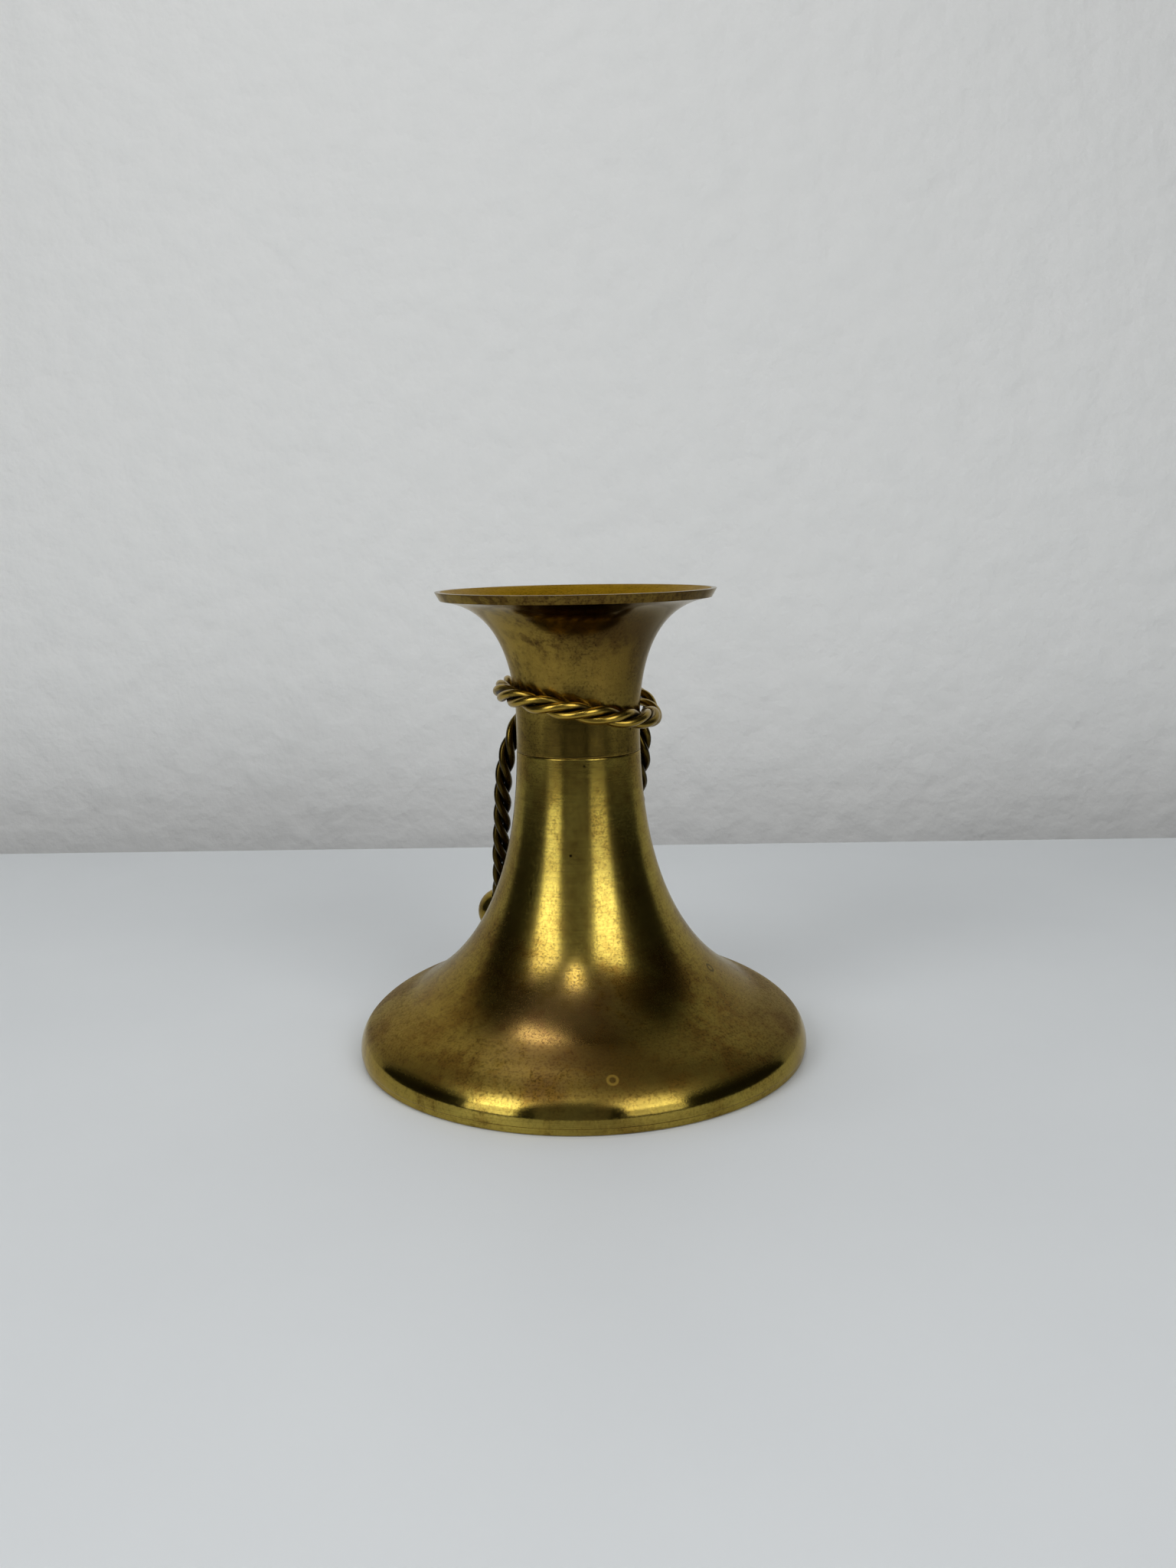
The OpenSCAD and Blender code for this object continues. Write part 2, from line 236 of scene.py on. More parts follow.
def new_material(name: str, metallic: float) -> tuple[
        bpy.types.Material, bpy.types.NodeTree, bpy.types.Node, bpy.types.NodeSocket]:
    """Start a material.

    Args:
        name: Name of the material.
        metallic: 1 for bare metal and 0 for paint.

    Returns:
        The material, its node tree, its shader, and the place on the piece in metres.
    """
    material = bpy.data.materials.new(name)
    material.use_nodes = True
    tree = material.node_tree
    shader = tree.nodes["Principled BSDF"]
    shader.inputs["Metallic"].default_value = metallic
    place = add_node(tree, "ShaderNodeTexCoord").outputs["Object"]
    return material, tree, shader, place


class MarkKind(Enum):
    """What a mark on the brass is."""

    PIT = "pit"
    RING = "ring"
    PATCH = "patch"


# How much of a mark shows at each share of its radius, from its middle outwards
MARK_EDGES: dict[MarkKind, tuple[Point, ...]] = {
    MarkKind.PIT: ((0.5, 1), (1.0, 0)),
    MarkKind.RING: ((0.42, 0), (0.62, 1), (0.82, 1), (1.0, 0)),
    MarkKind.PATCH: ((0.35, 1), (0.95, 0)),
}
# How far the clouds pull in a patch's edge, and the factor that spreads it past its radius
PATCH_RIPPLE = 0.5
PATCH_SPREAD = 0.65
# Height of a turning line and of a pit's floor beside a speck's height of 1
LINE_HEIGHT = 0.5
PIT_HEIGHT = -4.0
# A colour ramp holds values up to 1, so satin factors pass through it as shares of this one
SATIN_TOP = 2.0


@dataclass(frozen=True)
class Mark:
    """One mark on a surface.

    Attributes:
        kind: What the mark is.
        place: Its middle in millimetres.
        size: Its radius in millimetres.
        colour: Its colour as sRGB hex.
        strength: How much of the colour shows, from 0 to 1.
    """

    kind: MarkKind
    place: Triple
    size: float
    colour: str
    strength: float


@dataclass(frozen=True)
class Mottle:
    """Soft random patches of one size.

    Attributes:
        size: Size of the patches in millimetres.
        low: Noise at which a patch begins.
        high: Noise at which it is full.
        detail: Octaves of the noise.
        stretch: How much longer the patches are along each axis.
        raggedness: How strongly the finer octaves show.
    """

    size: float
    low: float = 0.4
    high: float = 0.68
    detail: float = 3.0
    stretch: Triple = (1, 1, 1)
    raggedness: float = 0.6

    def add(self, tree: bpy.types.NodeTree, place: bpy.types.NodeSocket) -> bpy.types.NodeSocket:
        """Add the patches to a material.

        Args:
            tree: The material's nodes.
            place: Where on the piece, in metres.

        Returns:
            A value from 0 to 1.
        """
        scale = tuple(1 / (self.size * MM * s) for s in self.stretch)
        mapped = add_node(tree, "ShaderNodeMapping", {"Vector": place, "Scale": scale})
        noise = add_node(tree, "ShaderNodeTexNoise",
                         {"Vector": mapped.outputs[0], "Scale": 1.0, "Detail": self.detail,
                          "Roughness": self.raggedness})
        return add_node(tree, "ShaderNodeMapRange",
                        {"Value": noise.outputs[0], "From Min": self.low, "From Max": self.high},
                        interpolation_type="SMOOTHSTEP").outputs[0]


@dataclass(frozen=True)
class AgedBrass:
    """Brass whose polish has browned unevenly: glossy yellow where it was rubbed, satin brown
    where it tarnished, with fine dark specks and faint turning lines.

    Attributes:
        name: Name of the material.
        bright: Colour of the rubbed brass, as sRGB hex.
        brown: Colour of the tarnish.
        dark: Colour of specks and turning lines.
        bright_roughness: Roughness of the rubbed brass.
        brown_roughness: Roughness of the tarnish.
        patches: Wide patches of tarnish.
        clouds: Small clouds of tarnish.
        specks: Dark specks, drawn coarser than the real ones so that they show.
        lines: Lines of the turning tool, drawn coarser than the real ones so that they show.
        cloud_share: How much the clouds add to the tarnish.
        speck_share: How dark the specks are on tarnished brass.
        clean_share: How much of that they keep on bright brass.
        line_share: How dark the turning lines are.
        speck_roughness: What a speck adds to the roughness.
        bump: How strongly the light shows specks, lines and pits.
        relief: Height of a speck in millimetres.
        grazing: Tint of reflections at a flat angle.
        browning: How browned the brass is at each height in millimetres.
        browning_share: How much of the tarnish follows the height. The patches give the rest.
        satin: Factor on the roughness at each height in millimetres.
        top: Height in millimetres at which both rows end.
        marks: Single stains, rings and pits.
    """

    name: str
    bright: str
    brown: str
    dark: str
    bright_roughness: float
    brown_roughness: float
    patches: Mottle = Mottle(11, detail=4)
    clouds: Mottle = Mottle(2.2, detail=5)
    specks: Mottle = Mottle(0.5, 0.46, 0.64)
    lines: Mottle = Mottle(0.3, 0.4, 0.66, stretch=(30, 30, 1))
    cloud_share: float = 0.3
    speck_share: float = 0.6
    clean_share: float = 0.15
    line_share: float = 0.16
    speck_roughness: float = 0.06
    bump: float = 0.13
    relief: float = 0.012
    grazing: str = "#FAF0DA"
    browning: tuple[Point, ...] = ((0, 0.0), (110, 0.0))
    browning_share: float = 0.55
    satin: tuple[Point, ...] = ((0, 1.0), (110, 1.0))
    top: float = 110.0
    marks: tuple[Mark, ...] = ()

    def by_height(self, tree: bpy.types.NodeTree, up: bpy.types.NodeSocket,
                  rows: tuple[Point, ...]) -> bpy.types.NodeSocket:
        """Add a value that changes with the height on the piece.

        Args:
            tree: The material's nodes.
            up: Height on the piece, in metres.
            rows: The value at each height in millimetres, from 0 to 1.

        Returns:
            The value.
        """
        share = add_node(tree, "ShaderNodeMath", {0: up, 1: self.top * MM},
                         operation="DIVIDE").outputs[0]
        return add_node(tree, "ShaderNodeValToRGB", {"Fac": share},
                        ramp=[(height / self.top, (value, value, value, 1))
                              for height, value in rows]).outputs["Color"]

    def mark_mask(self, tree: bpy.types.NodeTree, place: bpy.types.NodeSocket,
                  mark: Mark, ripple: bpy.types.NodeSocket) -> bpy.types.NodeSocket:
        """Add where one mark shows.

        Args:
            tree: The material's nodes.
            place: Where on the piece, in metres.
            mark: The mark.
            ripple: Pattern that makes a patch's edge uneven.

        Returns:
            A value from 0 to the mark's strength.
        """
        centre = tuple(v * MM for v in mark.place)
        away = add_node(tree, "ShaderNodeVectorMath", {0: place, 1: centre},
                        operation="DISTANCE").outputs["Value"]
        share = add_node(tree, "ShaderNodeMath", {0: away, 1: mark.size * MM},
                         operation="DIVIDE").outputs[0]
        if mark.kind is MarkKind.PATCH:
            share = add_node(tree, "ShaderNodeMath", {0: ripple, 1: PATCH_RIPPLE, 2: share},
                             operation="MULTIPLY_ADD").outputs[0]
            share = add_node(tree, "ShaderNodeMath", {0: share, 1: PATCH_SPREAD},
                             operation="MULTIPLY").outputs[0]
        ramp = [(reach, (shown * mark.strength,) * 3 + (1,))
                for reach, shown in MARK_EDGES[mark.kind]]
        return add_node(tree, "ShaderNodeValToRGB", {"Fac": share}, ramp=ramp).outputs["Color"]

    def brownness(self, tree: bpy.types.NodeTree, place: bpy.types.NodeSocket,
                  up: bpy.types.NodeSocket, clouds: bpy.types.NodeSocket
                  ) -> bpy.types.NodeSocket:
        """Add how browned the brass is.

        Args:
            tree: The material's nodes.
            place: Where on the piece, in metres.
            up: Height on the piece, in metres.
            clouds: The small clouds of tarnish.

        Returns:
            A value from 0, rubbed bright, to 1, browned all over.
        """
        browned = add_node(tree, "ShaderNodeMath",
                           {0: self.by_height(tree, up, self.browning), 1: self.browning_share},
                           operation="MULTIPLY").outputs[0]
        browned = add_node(tree, "ShaderNodeMath", {0: clouds, 1: self.cloud_share, 2: browned},
                           operation="MULTIPLY_ADD").outputs[0]
        return add_node(tree, "ShaderNodeMath",
                        {0: self.patches.add(tree, place), 1: 1 - self.browning_share,
                         2: browned}, operation="MULTIPLY_ADD", use_clamp=True).outputs[0]

    def roughness(self, tree: bpy.types.NodeTree, up: bpy.types.NodeSocket,
                  brownness: bpy.types.NodeSocket, specks: bpy.types.NodeSocket
                  ) -> bpy.types.NodeSocket:
        """Add how rough the brass is.

        Args:
            tree: The material's nodes.
            up: Height on the piece, in metres.
            brownness: How browned the brass is.
            specks: The dark specks.

        Returns:
            The roughness.
        """
        rough = add_node(tree, "ShaderNodeMapRange",
                         {"Value": brownness, "To Min": self.bright_roughness,
                          "To Max": self.brown_roughness}).outputs[0]
        rough = add_node(tree, "ShaderNodeMath", {0: specks, 1: self.speck_roughness, 2: rough},
                         operation="MULTIPLY_ADD").outputs[0]
        satin = self.by_height(tree, up, tuple((h, s / SATIN_TOP) for h, s in self.satin))
        for factor in (satin, SATIN_TOP):
            rough = add_node(tree, "ShaderNodeMath", {0: rough, 1: factor},
                             operation="MULTIPLY").outputs[0]
        return rough

    def build(self) -> bpy.types.Material:
        """Make the material.

        Returns:
            The new material.
        """
        material, tree, shader, place = new_material(self.name, 1.0)
        up = add_node(tree, "ShaderNodeSeparateXYZ", {0: place}).outputs["Z"]
        clouds, specks, lines = (
            mottle.add(tree, place) for mottle in (self.clouds, self.specks, self.lines))
        brownness = self.brownness(tree, place, up, clouds)
        colour = add_node(tree, "ShaderNodeMix",
                          {0: brownness, 6: linear(self.bright), 7: linear(self.brown)},
                          data_type="RGBA").outputs[2]
        speckled = add_node(tree, "ShaderNodeMapRange",
                            {"Value": brownness, "To Min": self.speck_share * self.clean_share,
                             "To Max": self.speck_share}).outputs[0]
        grain = add_node(tree, "ShaderNodeMath", {0: lines, 1: self.line_share},
                         operation="MULTIPLY").outputs[0]
        grain = add_node(tree, "ShaderNodeMath", {0: specks, 1: speckled, 2: grain},
                         operation="MULTIPLY_ADD").outputs[0]
        colour = add_node(tree, "ShaderNodeMix", {0: grain, 6: colour, 7: linear(self.dark)},
                          data_type="RGBA").outputs[2]
        height = add_node(tree, "ShaderNodeMath", {0: lines, 1: LINE_HEIGHT, 2: specks},
                          operation="MULTIPLY_ADD").outputs[0]
        for mark in self.marks:
            mask = self.mark_mask(tree, place, mark, clouds)
            colour = add_node(tree, "ShaderNodeMix", {0: mask, 6: colour, 7: linear(mark.colour)},
                              data_type="RGBA").outputs[2]
            if mark.kind is MarkKind.PIT:
                height = add_node(tree, "ShaderNodeMath", {0: mask, 1: PIT_HEIGHT, 2: height},
                                  operation="MULTIPLY_ADD").outputs[0]
        bump = add_node(tree, "ShaderNodeBump",
                        {"Height": height, "Strength": self.bump, "Distance": self.relief * MM})
        rough = self.roughness(tree, up, brownness, specks)
        tree.links.new(colour, shader.inputs["Base Color"])
        tree.links.new(rough, shader.inputs["Roughness"])
        tree.links.new(bump.outputs[0], shader.inputs["Normal"])
        shader.inputs["Specular Tint"].default_value = linear(self.grazing)
        return material


@dataclass(frozen=True)
class RopeBrass:
    """Drawn brass wire, rubbed bright on its crests, with shade painted into the grooves of the
    lay.

    Attributes:
        name: Name of the material.
        crest: Colour of the crests, as sRGB hex.
        groove: Dark colour painted into the grooves between the wires as their shade.
        tail: Colour that the rope darkens to towards its lower ends, on the tails.
        tail_share: How much of that colour the tails take.
        tail_low: Height in millimetres below which the rope is all tail.
        tail_high: Height above which it is all loop.
        crest_roughness: Roughness of the crests.
        groove_roughness: Roughness of the grooves.
        wear_size: Size in millimetres of the places that are worn more.
        wear_detail: Octaves of that noise.
        wear_share: How much the wear varies along the wire.
        wear_low: Crest and wear together at which the bright brass begins.
        wear_high: Crest and wear together at which it is full.
        grain_size: Size of the drawing marks in millimetres, coarser than the real ones.
        grain_detail: Octaves of that noise.
        relief: Their height in millimetres.
        bump: How strongly the light shows them.
    """

    name: str = "aged_brass_wire"
    crest: str = "#A68A3A"
    groove: str = "#2C2210"
    tail: str = "#140E06"
    tail_share: float = 0.88
    tail_low: float = 66.0
    tail_high: float = 76.0
    crest_roughness: float = 0.26
    groove_roughness: float = 0.4
    wear_size: float = 2.2
    wear_detail: float = 4.0
    wear_share: float = 0.6
    wear_low: float = 0.82
    wear_high: float = 1.3
    grain_size: float = 0.35
    grain_detail: float = 2.0
    relief: float = 0.01
    bump: float = 0.3

    def build(self) -> bpy.types.Material:
        """Make the material, which reads the wires' own crest attribute.

        Returns:
            The new material.
        """
        material, tree, shader, place = new_material(self.name, 1.0)
        crest = add_node(tree, "ShaderNodeAttribute", attribute_name="crest").outputs["Fac"]
        wear = add_node(tree, "ShaderNodeTexNoise",
                        {"Vector": place, "Scale": 1 / (self.wear_size * MM),
                         "Detail": self.wear_detail})
        worn = add_node(tree, "ShaderNodeMath",
                        {0: wear.outputs[0], 1: self.wear_share, 2: crest},
                        operation="MULTIPLY_ADD").outputs[0]
        share = add_node(tree, "ShaderNodeMapRange",
                         {"Value": worn, "From Min": self.wear_low, "From Max": self.wear_high},
                         interpolation_type="SMOOTHSTEP").outputs[0]
        # Painted shade: the colour darkens from the crests into the grooves between the wires,
        # broken up by wear along the wire
        colour = add_node(tree, "ShaderNodeMix",
                          {0: share, 6: linear(self.groove), 7: linear(self.crest)},
                          data_type="RGBA").outputs[2]
        up = add_node(tree, "ShaderNodeSeparateXYZ", {0: place}).outputs["Z"]
        tails = add_node(tree, "ShaderNodeMapRange",
                         {"Value": up, "From Min": self.tail_low * MM,
                          "From Max": self.tail_high * MM, "To Min": self.tail_share,
                          "To Max": 0.0}).outputs[0]
        colour = add_node(tree, "ShaderNodeMix",
                          {0: tails, 6: colour, 7: linear(self.tail)},
                          data_type="RGBA").outputs[2]
        rough = add_node(tree, "ShaderNodeMapRange",
                         {"Value": share, "To Min": self.groove_roughness,
                          "To Max": self.crest_roughness}).outputs[0]
        grain = add_node(tree, "ShaderNodeTexNoise",
                         {"Vector": place, "Scale": 1 / (self.grain_size * MM),
                          "Detail": self.grain_detail})
        bump = add_node(tree, "ShaderNodeBump",
                        {"Height": grain.outputs[0], "Strength": self.bump,
                         "Distance": self.relief * MM})
        tree.links.new(colour, shader.inputs["Base Color"])
        tree.links.new(rough, shader.inputs["Roughness"])
        tree.links.new(bump.outputs[0], shader.inputs["Normal"])
        return material


@dataclass(frozen=True)
class PlainFinish:
    """A plain surface: zinc-plated steel, or the matt paint of the table and the wall.

    Attributes:
        name: Name of the material.
        colour: Its colour, as sRGB hex.
        shade: The colour that it wanders to.
        metallic: 1 for bare metal and 0 for paint.
        roughness: Its roughness.
        grain_size: Size of its unevenness in millimetres.
        grain_detail: Octaves of that noise.
        relief: Height of its unevenness in millimetres, or 0 for none.
    """

    name: str
    colour: str
    shade: str
    metallic: float
    roughness: float
    grain_size: float
    relief: float = 0.0
    grain_detail: float = 5.0

    def build(self) -> bpy.types.Material:
        """Make the material.

        Returns:
            The new material.
        """
        material, tree, shader, place = new_material(self.name, self.metallic)
        shader.inputs["Roughness"].default_value = self.roughness
        noise = add_node(tree, "ShaderNodeTexNoise",
                         {"Vector": place, "Scale": 1 / (self.grain_size * MM),
                          "Detail": self.grain_detail})
        colour = add_node(tree, "ShaderNodeMix",
                          {0: noise.outputs[0], 6: linear(self.colour), 7: linear(self.shade)},
                          data_type="RGBA").outputs[2]
        tree.links.new(colour, shader.inputs["Base Color"])
        if self.relief:
            raised = add_node(tree, "ShaderNodeBump",
                              {"Height": noise.outputs[0], "Strength": 1.0,
                               "Distance": self.relief * MM})
            tree.links.new(raised.outputs[0], shader.inputs["Normal"])
        return material


# Cast brass, turned and polished: yellow bands of light on the flare and a mirror-bright edge,
# between them a satin brown shoulder with stains, and a slightly browner ring at the seam
FOOT_BRASS = AgedBrass(
    name="aged_polished_brass", bright="#B29F4A", brown="#7A5C24", dark="#35290C",
    bright_roughness=0.19, brown_roughness=0.23,
    satin=((0, 0.52), (5.2, 0.56), (7.2, 1.9), (12, 1.9), (14, 1.0), (66, 1.0)),
    browning=((0, 0.15), (5.2, 0.15), (7.2, 0.95), (20, 0.95), (29, 0.45), (40, 0.05),
              (54, 0.1), (62, 0.2), (65.7, 0.25), (65.9, 0.6)),
    marks=(
        Mark(MarkKind.PATCH, (-6, -33, 15.5), 13, "#8E6A45", 0.5),
        Mark(MarkKind.PATCH, (-34, -22, 13), 17, "#8E6C22", 0.4),
        Mark(MarkKind.PATCH, (4, -43, 10), 15, "#5A4520", 0.5),
        Mark(MarkKind.PATCH, (16, -38, 12), 15, "#5E4E1C", 0.4),
        Mark(MarkKind.PATCH, (40, -14, 12), 16, "#5F4820", 0.5),
        Mark(MarkKind.RING, (5.3, -44.3, 9.5), 1.35, "#A88A3C", 0.75),
        Mark(MarkKind.RING, (27.5, -9.2, 19.7), 1.3, "#33260E", 0.9),
        Mark(MarkKind.PIT, (-2.05, -15.4, 46.2), 0.42, "#120C04", 1.0),
        Mark(MarkKind.PIT, (1.1, -13.3, 64.5), 0.3, "#2A1E0A", 0.9),
        Mark(MarkKind.PIT, (-10.6, -14.3, 38.1), 0.5, "#6E5E28", 0.8),
    ))
# The cup's turned brass, browned with age: dark gold with a browner right side, and
# glossy again where the flare bends out under the rim
CUP_BRASS = AgedBrass(
    name="browned_brass", bright="#A48C40", brown="#5A441E", dark="#241A0A",
    bright_roughness=0.2, brown_roughness=0.25, grazing="#F6EEDC",
    patches=Mottle(12, 0.3, 0.8, 4), cloud_share=0.22, browning_share=0.75,
    satin=((66, 0.84), (76, 0.84), (84, 1.0), (90, 0.9), (95, 0.6), (110, 0.6)),
    browning=((66.1, 0.7), (66.4, 0.32), (74, 0.2), (84, 0.7), (92, 1.0), (110, 1.0)),
    marks=(
        Mark(MarkKind.PATCH, (-19, -9, 91), 13, "#AC9040", 0.65),
        Mark(MarkKind.PATCH, (14, -12, 89), 12, "#46341A", 0.75),
        Mark(MarkKind.PATCH, (-6, -13, 84), 7, "#8E7432", 0.5),
        Mark(MarkKind.PATCH, (7, -13, 84), 6, "#8E7432", 0.5),
        Mark(MarkKind.PIT, (10.9, -7.5, 71.3), 0.35, "#2A1E0A", 0.9),
    ))
# The inside of the cup, seldom rubbed: an even, warm golden brown
INNER_BRASS = AgedBrass(
    name="golden_brown_brass", bright="#9A7C38", brown="#886830", dark="#3A2A10",
    bright_roughness=0.28, brown_roughness=0.32, grazing="#F0D8A0",
    patches=Mottle(9, detail=4), browning=((66, 1.0), (110, 1.0)))
# The foot's inside as it left the mould: dull, grainy and dark
CAST_BRASS = AgedBrass(
    name="as_cast_brass", bright="#7C6636", brown="#5E4A2A", dark="#2A2010",
    bright_roughness=0.5, brown_roughness=0.62, patches=Mottle(10, detail=4),
    specks=Mottle(0.6, 0.46, 0.64), speck_share=0.5, line_share=0.0, bump=0.8)
# Turned and polished balls, tarnished a little: a small bright highlight on dark gold
BALL_BRASS = AgedBrass(
    name="polished_brass_ball", bright="#9A8236", brown="#6E5626", dark="#2E2410",
    bright_roughness=0.18, brown_roughness=0.28, patches=Mottle(6, detail=4))
# Twisted wire: thin gold highlights over grooves painted near-black as shade
ROPE_BRASS = RopeBrass()
# Plated screw and washer: cool, even grey
ZINC_STEEL = PlainFinish("zinc_plated_steel", "#8D8F90", "#7A7C7E", 1.0, 0.36, 0.8)
# Satin paint of the table: a cool white that hardly mirrors the foot
TABLE_PAINT = PlainFinish("pale_table_paint", "#EBEFF1", "#E4E8EB", 0.0, 0.5, 60)
# Rolled paint of the wall: matt, with a low uneven nap
WALL_PAINT = PlainFinish("pale_wall_paint", "#F7F8F7", "#F1F3F2", 0.0, 0.8, 12, 1.6)


# The castings


@dataclass
class HolderOutline:
    """Sizes of the outside that the foot and the cup share, in millimetres and degrees.

    Attributes:
        height: Height of the holder.
        waist_r: Radius of the neck where it is narrowest.
        waist_h: Height of that place.
        cup_lead: Length over which the neck's upright start leads the flare of the cup.
        rim_lead: Length over which the rim's slope leads back into it.
        rim_slope: Slope of the flare at the rim.
        foot_lead: Length over which the neck's upright start leads the flare of the foot.
        flare_lead: Length over which the shoulder's slope leads back up into it.
        foot_r: Radius of the foot's widest edge.
        stand_r: Outer radius of the standing ring.
        stand_w: Width of the standing ring.
        lip_h: Height of the rolled lip.
        groove: Depth of the hairline groove above the lip.
        shoulder_r: Radius of the shoulder, where it meets the flare.
        shoulder_h: Height of that place.
        shoulder_slope: Slope of the surface there.
        shoulder_lead: Length over which that slope leads into the shoulder.
        edge_lead: Length over which the upright edge leads into it.
        seam_h: Height of the seam between foot and cup.
        seam_chamfer: Width of the chamfer on either side of the seam.
        rim_r: Radius of the drip rim.
        rim_h: Height of the rim's band.
        rim_taper: How much narrower the band is below.
        steps: Stretches in each long curve.
        table: The outside as (height, radius), for looking up.
    """

    height: float = 100.0
    waist_r: float = 13.2
    waist_h: float = 71.8
    cup_lead: float = 25.3
    rim_lead: float = 2.7
    rim_slope: float = 12.5
    foot_lead: float = 17.0
    flare_lead: float = 28.2
    foot_r: float = 49.1
    stand_r: float = 46.9
    stand_w: float = 1.8
    lip_h: float = 1.8
    groove: float = 0.25
    shoulder_r: float = 40.2
    shoulder_h: float = 11.7
    shoulder_slope: float = 24.4
    shoulder_lead: float = 4.8
    edge_lead: float = 5.0
    seam_h: float = 66.0
    seam_chamfer: float = 0.15
    rim_r: float = 29.55
    rim_h: float = 1.8
    rim_taper: float = 0.8
    steps: int = 44
    table: list[Point] = field(default_factory=list)

    def __post_init__(self) -> None:
        """Fill the table from the curves."""
        self.table = [(p.y, p.x) for p in self.shoulder() + self.flare() + self.cup()]

    def lip(self) -> list[Vector]:
        """Work out the rolled lip.

        Returns:
            The points from the standing ring up to the hairline groove.
        """
        low = Vector((self.foot_r - self.groove, 0))
        return cubic(Vector((self.stand_r, 0)), low, low,
                     Vector((self.foot_r - self.groove, self.lip_h - self.groove)), 8)

    def shoulder(self) -> list[Vector]:
        """Work out the rounded shoulder.

        Returns:
            The points from the widest edge up to the flare.
        """
        top = Vector((self.shoulder_r, self.shoulder_h))
        slope = math.radians(self.shoulder_slope)
        edge = Vector((self.foot_r, self.lip_h))
        return cubic(edge, edge + Vector((0, self.edge_lead)),
                     top + self.shoulder_lead * Vector((math.cos(slope), -math.sin(slope))),
                     top, self.steps // 2)

    def flare(self) -> list[Vector]:
        """Work out the hollow flare of the foot.

        Returns:
            The points from the shoulder up to the waist.
        """
        low = Vector((self.shoulder_r, self.shoulder_h))
        slope = math.radians(self.shoulder_slope)
        waist = Vector((self.waist_r, self.waist_h))
        return cubic(low, low + self.flare_lead * Vector((-math.cos(slope), math.sin(slope))),
                     waist - Vector((0, self.foot_lead)), waist, self.steps)

    def cup(self) -> list[Vector]:
        """Work out the flare of the cup.

        Returns:
            The points from the waist up to the rim's band.
        """
        slope = math.radians(self.rim_slope)
        waist = Vector((self.waist_r, self.waist_h))
        rim = Vector((self.rim_r - self.rim_taper, self.height - self.rim_h))
        return cubic(waist, waist + Vector((0, self.cup_lead)),
                     rim - self.rim_lead * Vector((math.cos(slope), math.sin(slope))),
                     rim, self.steps)

    def radius(self, height: float) -> float:
        """Outer radius at a height.

        Args:
            height: Height above the table in millimetres.

        Returns:
            The radius in millimetres.
        """
        for (low, r_low), (high, r_high) in zip(self.table, self.table[1:]):
            if low <= height <= high and high > low:
                return r_low + (r_high - r_low) * (height - low) / (high - low)
        return self.table[0][1] if height < self.table[0][0] else self.table[-1][1]

    def between(self, low: float, high: float) -> list[Vector]:
        """Points of the outside between two heights, without the ends."""
        return [Vector((r, h)) for h, r in self.table if low < h < high]


@dataclass
class BellFoot:
    """Cast bell foot, open below, with a bored web at the seam.

    Attributes:
        outline: The outside.
        wall: Thickness of the wall in millimetres.
        web: Thickness of the web.
        web_chamfer: Width of the chamfer between web and wall.
        bore_r: Radius of the bore that the cup's boss enters.
        corner: How far from a corner its rounding starts.
        margin: Height next to the seam and the table that keeps the outer finish.
        web_r: Radius within which the web's underside is as cast.
        sides: Sides of the turned piece.
    """

    outline: HolderOutline
    wall: float = 2.0
    web: float = 4.0
    web_chamfer: float = 1.2
    bore_r: float = 5.95
    corner: float = 0.12
    margin: float = 0.1
    web_r: float = 10.5
    sides: int = 256

    def inside(self) -> list[Vector]:
        """Work out the inside of the bell.

        Returns:
            The points from the web down to the standing ring.
        """
        top = self.outline.seam_h - self.web - self.web_chamfer
        standing_in = self.outline.stand_r - self.outline.stand_w
        points = self.outline.shoulder() + self.outline.flare()[1:]
        result = []
        for i in range(1, len(points) - 1):
            ahead = (points[i + 1] - points[i - 1]).normalized()
            inner = points[i] + self.wall * Vector((-ahead.y, ahead.x))
            if inner.y < top:
                result.append(Vector((min(inner.x, standing_in), inner.y)))
        return list(reversed(result))

    def profile(self) -> list[Vector]:
        """Work out the section of the foot's wall.

        Returns:
            The closed outline.
        """
        o = self.outline
        web_low = o.seam_h - self.web
        below = o.seam_h - o.seam_chamfer
        inner = o.radius(web_low) - self.wall
        points = [Vector((o.stand_r - o.stand_w, 0))] + o.lip()
        points += [Vector((o.foot_r, o.lip_h))] + o.between(o.lip_h, below)
        points += [Vector((o.radius(below), below)),
                   Vector((o.radius(o.seam_h) - o.seam_chamfer, o.seam_h)),
                   Vector((self.bore_r, o.seam_h)), Vector((self.bore_r, web_low)),
                   Vector((inner - self.web_chamfer, web_low)),
                   Vector((o.radius(web_low - self.web_chamfer) - self.wall,
                           web_low - self.web_chamfer))]
        return points + self.inside()

    def build(self) -> bpy.types.Object:
        """Spin the foot and give its inside the cast finish.

        Returns:
            The finished foot.
        """
        piece = spun("brass_bell_foot", softened(self.profile(), self.corner), self.sides)
        piece.data.materials.append(FOOT_BRASS.build())
        piece.data.materials.append(CAST_BRASS.build())
        high = (self.outline.seam_h - self.margin) * MM
        web_low = (self.outline.seam_h - self.web - self.web_chamfer) * MM
        for face in piece.data.polygons:
            away = Vector((face.center.x, face.center.y, 0))
            in_web = away.length < self.web_r * MM and face.center.z > web_low
            if self.margin * MM < face.center.z < high and (
                    in_web or face.normal.dot(away) < 0):
                face.material_index = 1
        smooth(piece)
        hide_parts("bell_foot")
        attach(piece, "holder")
        return piece


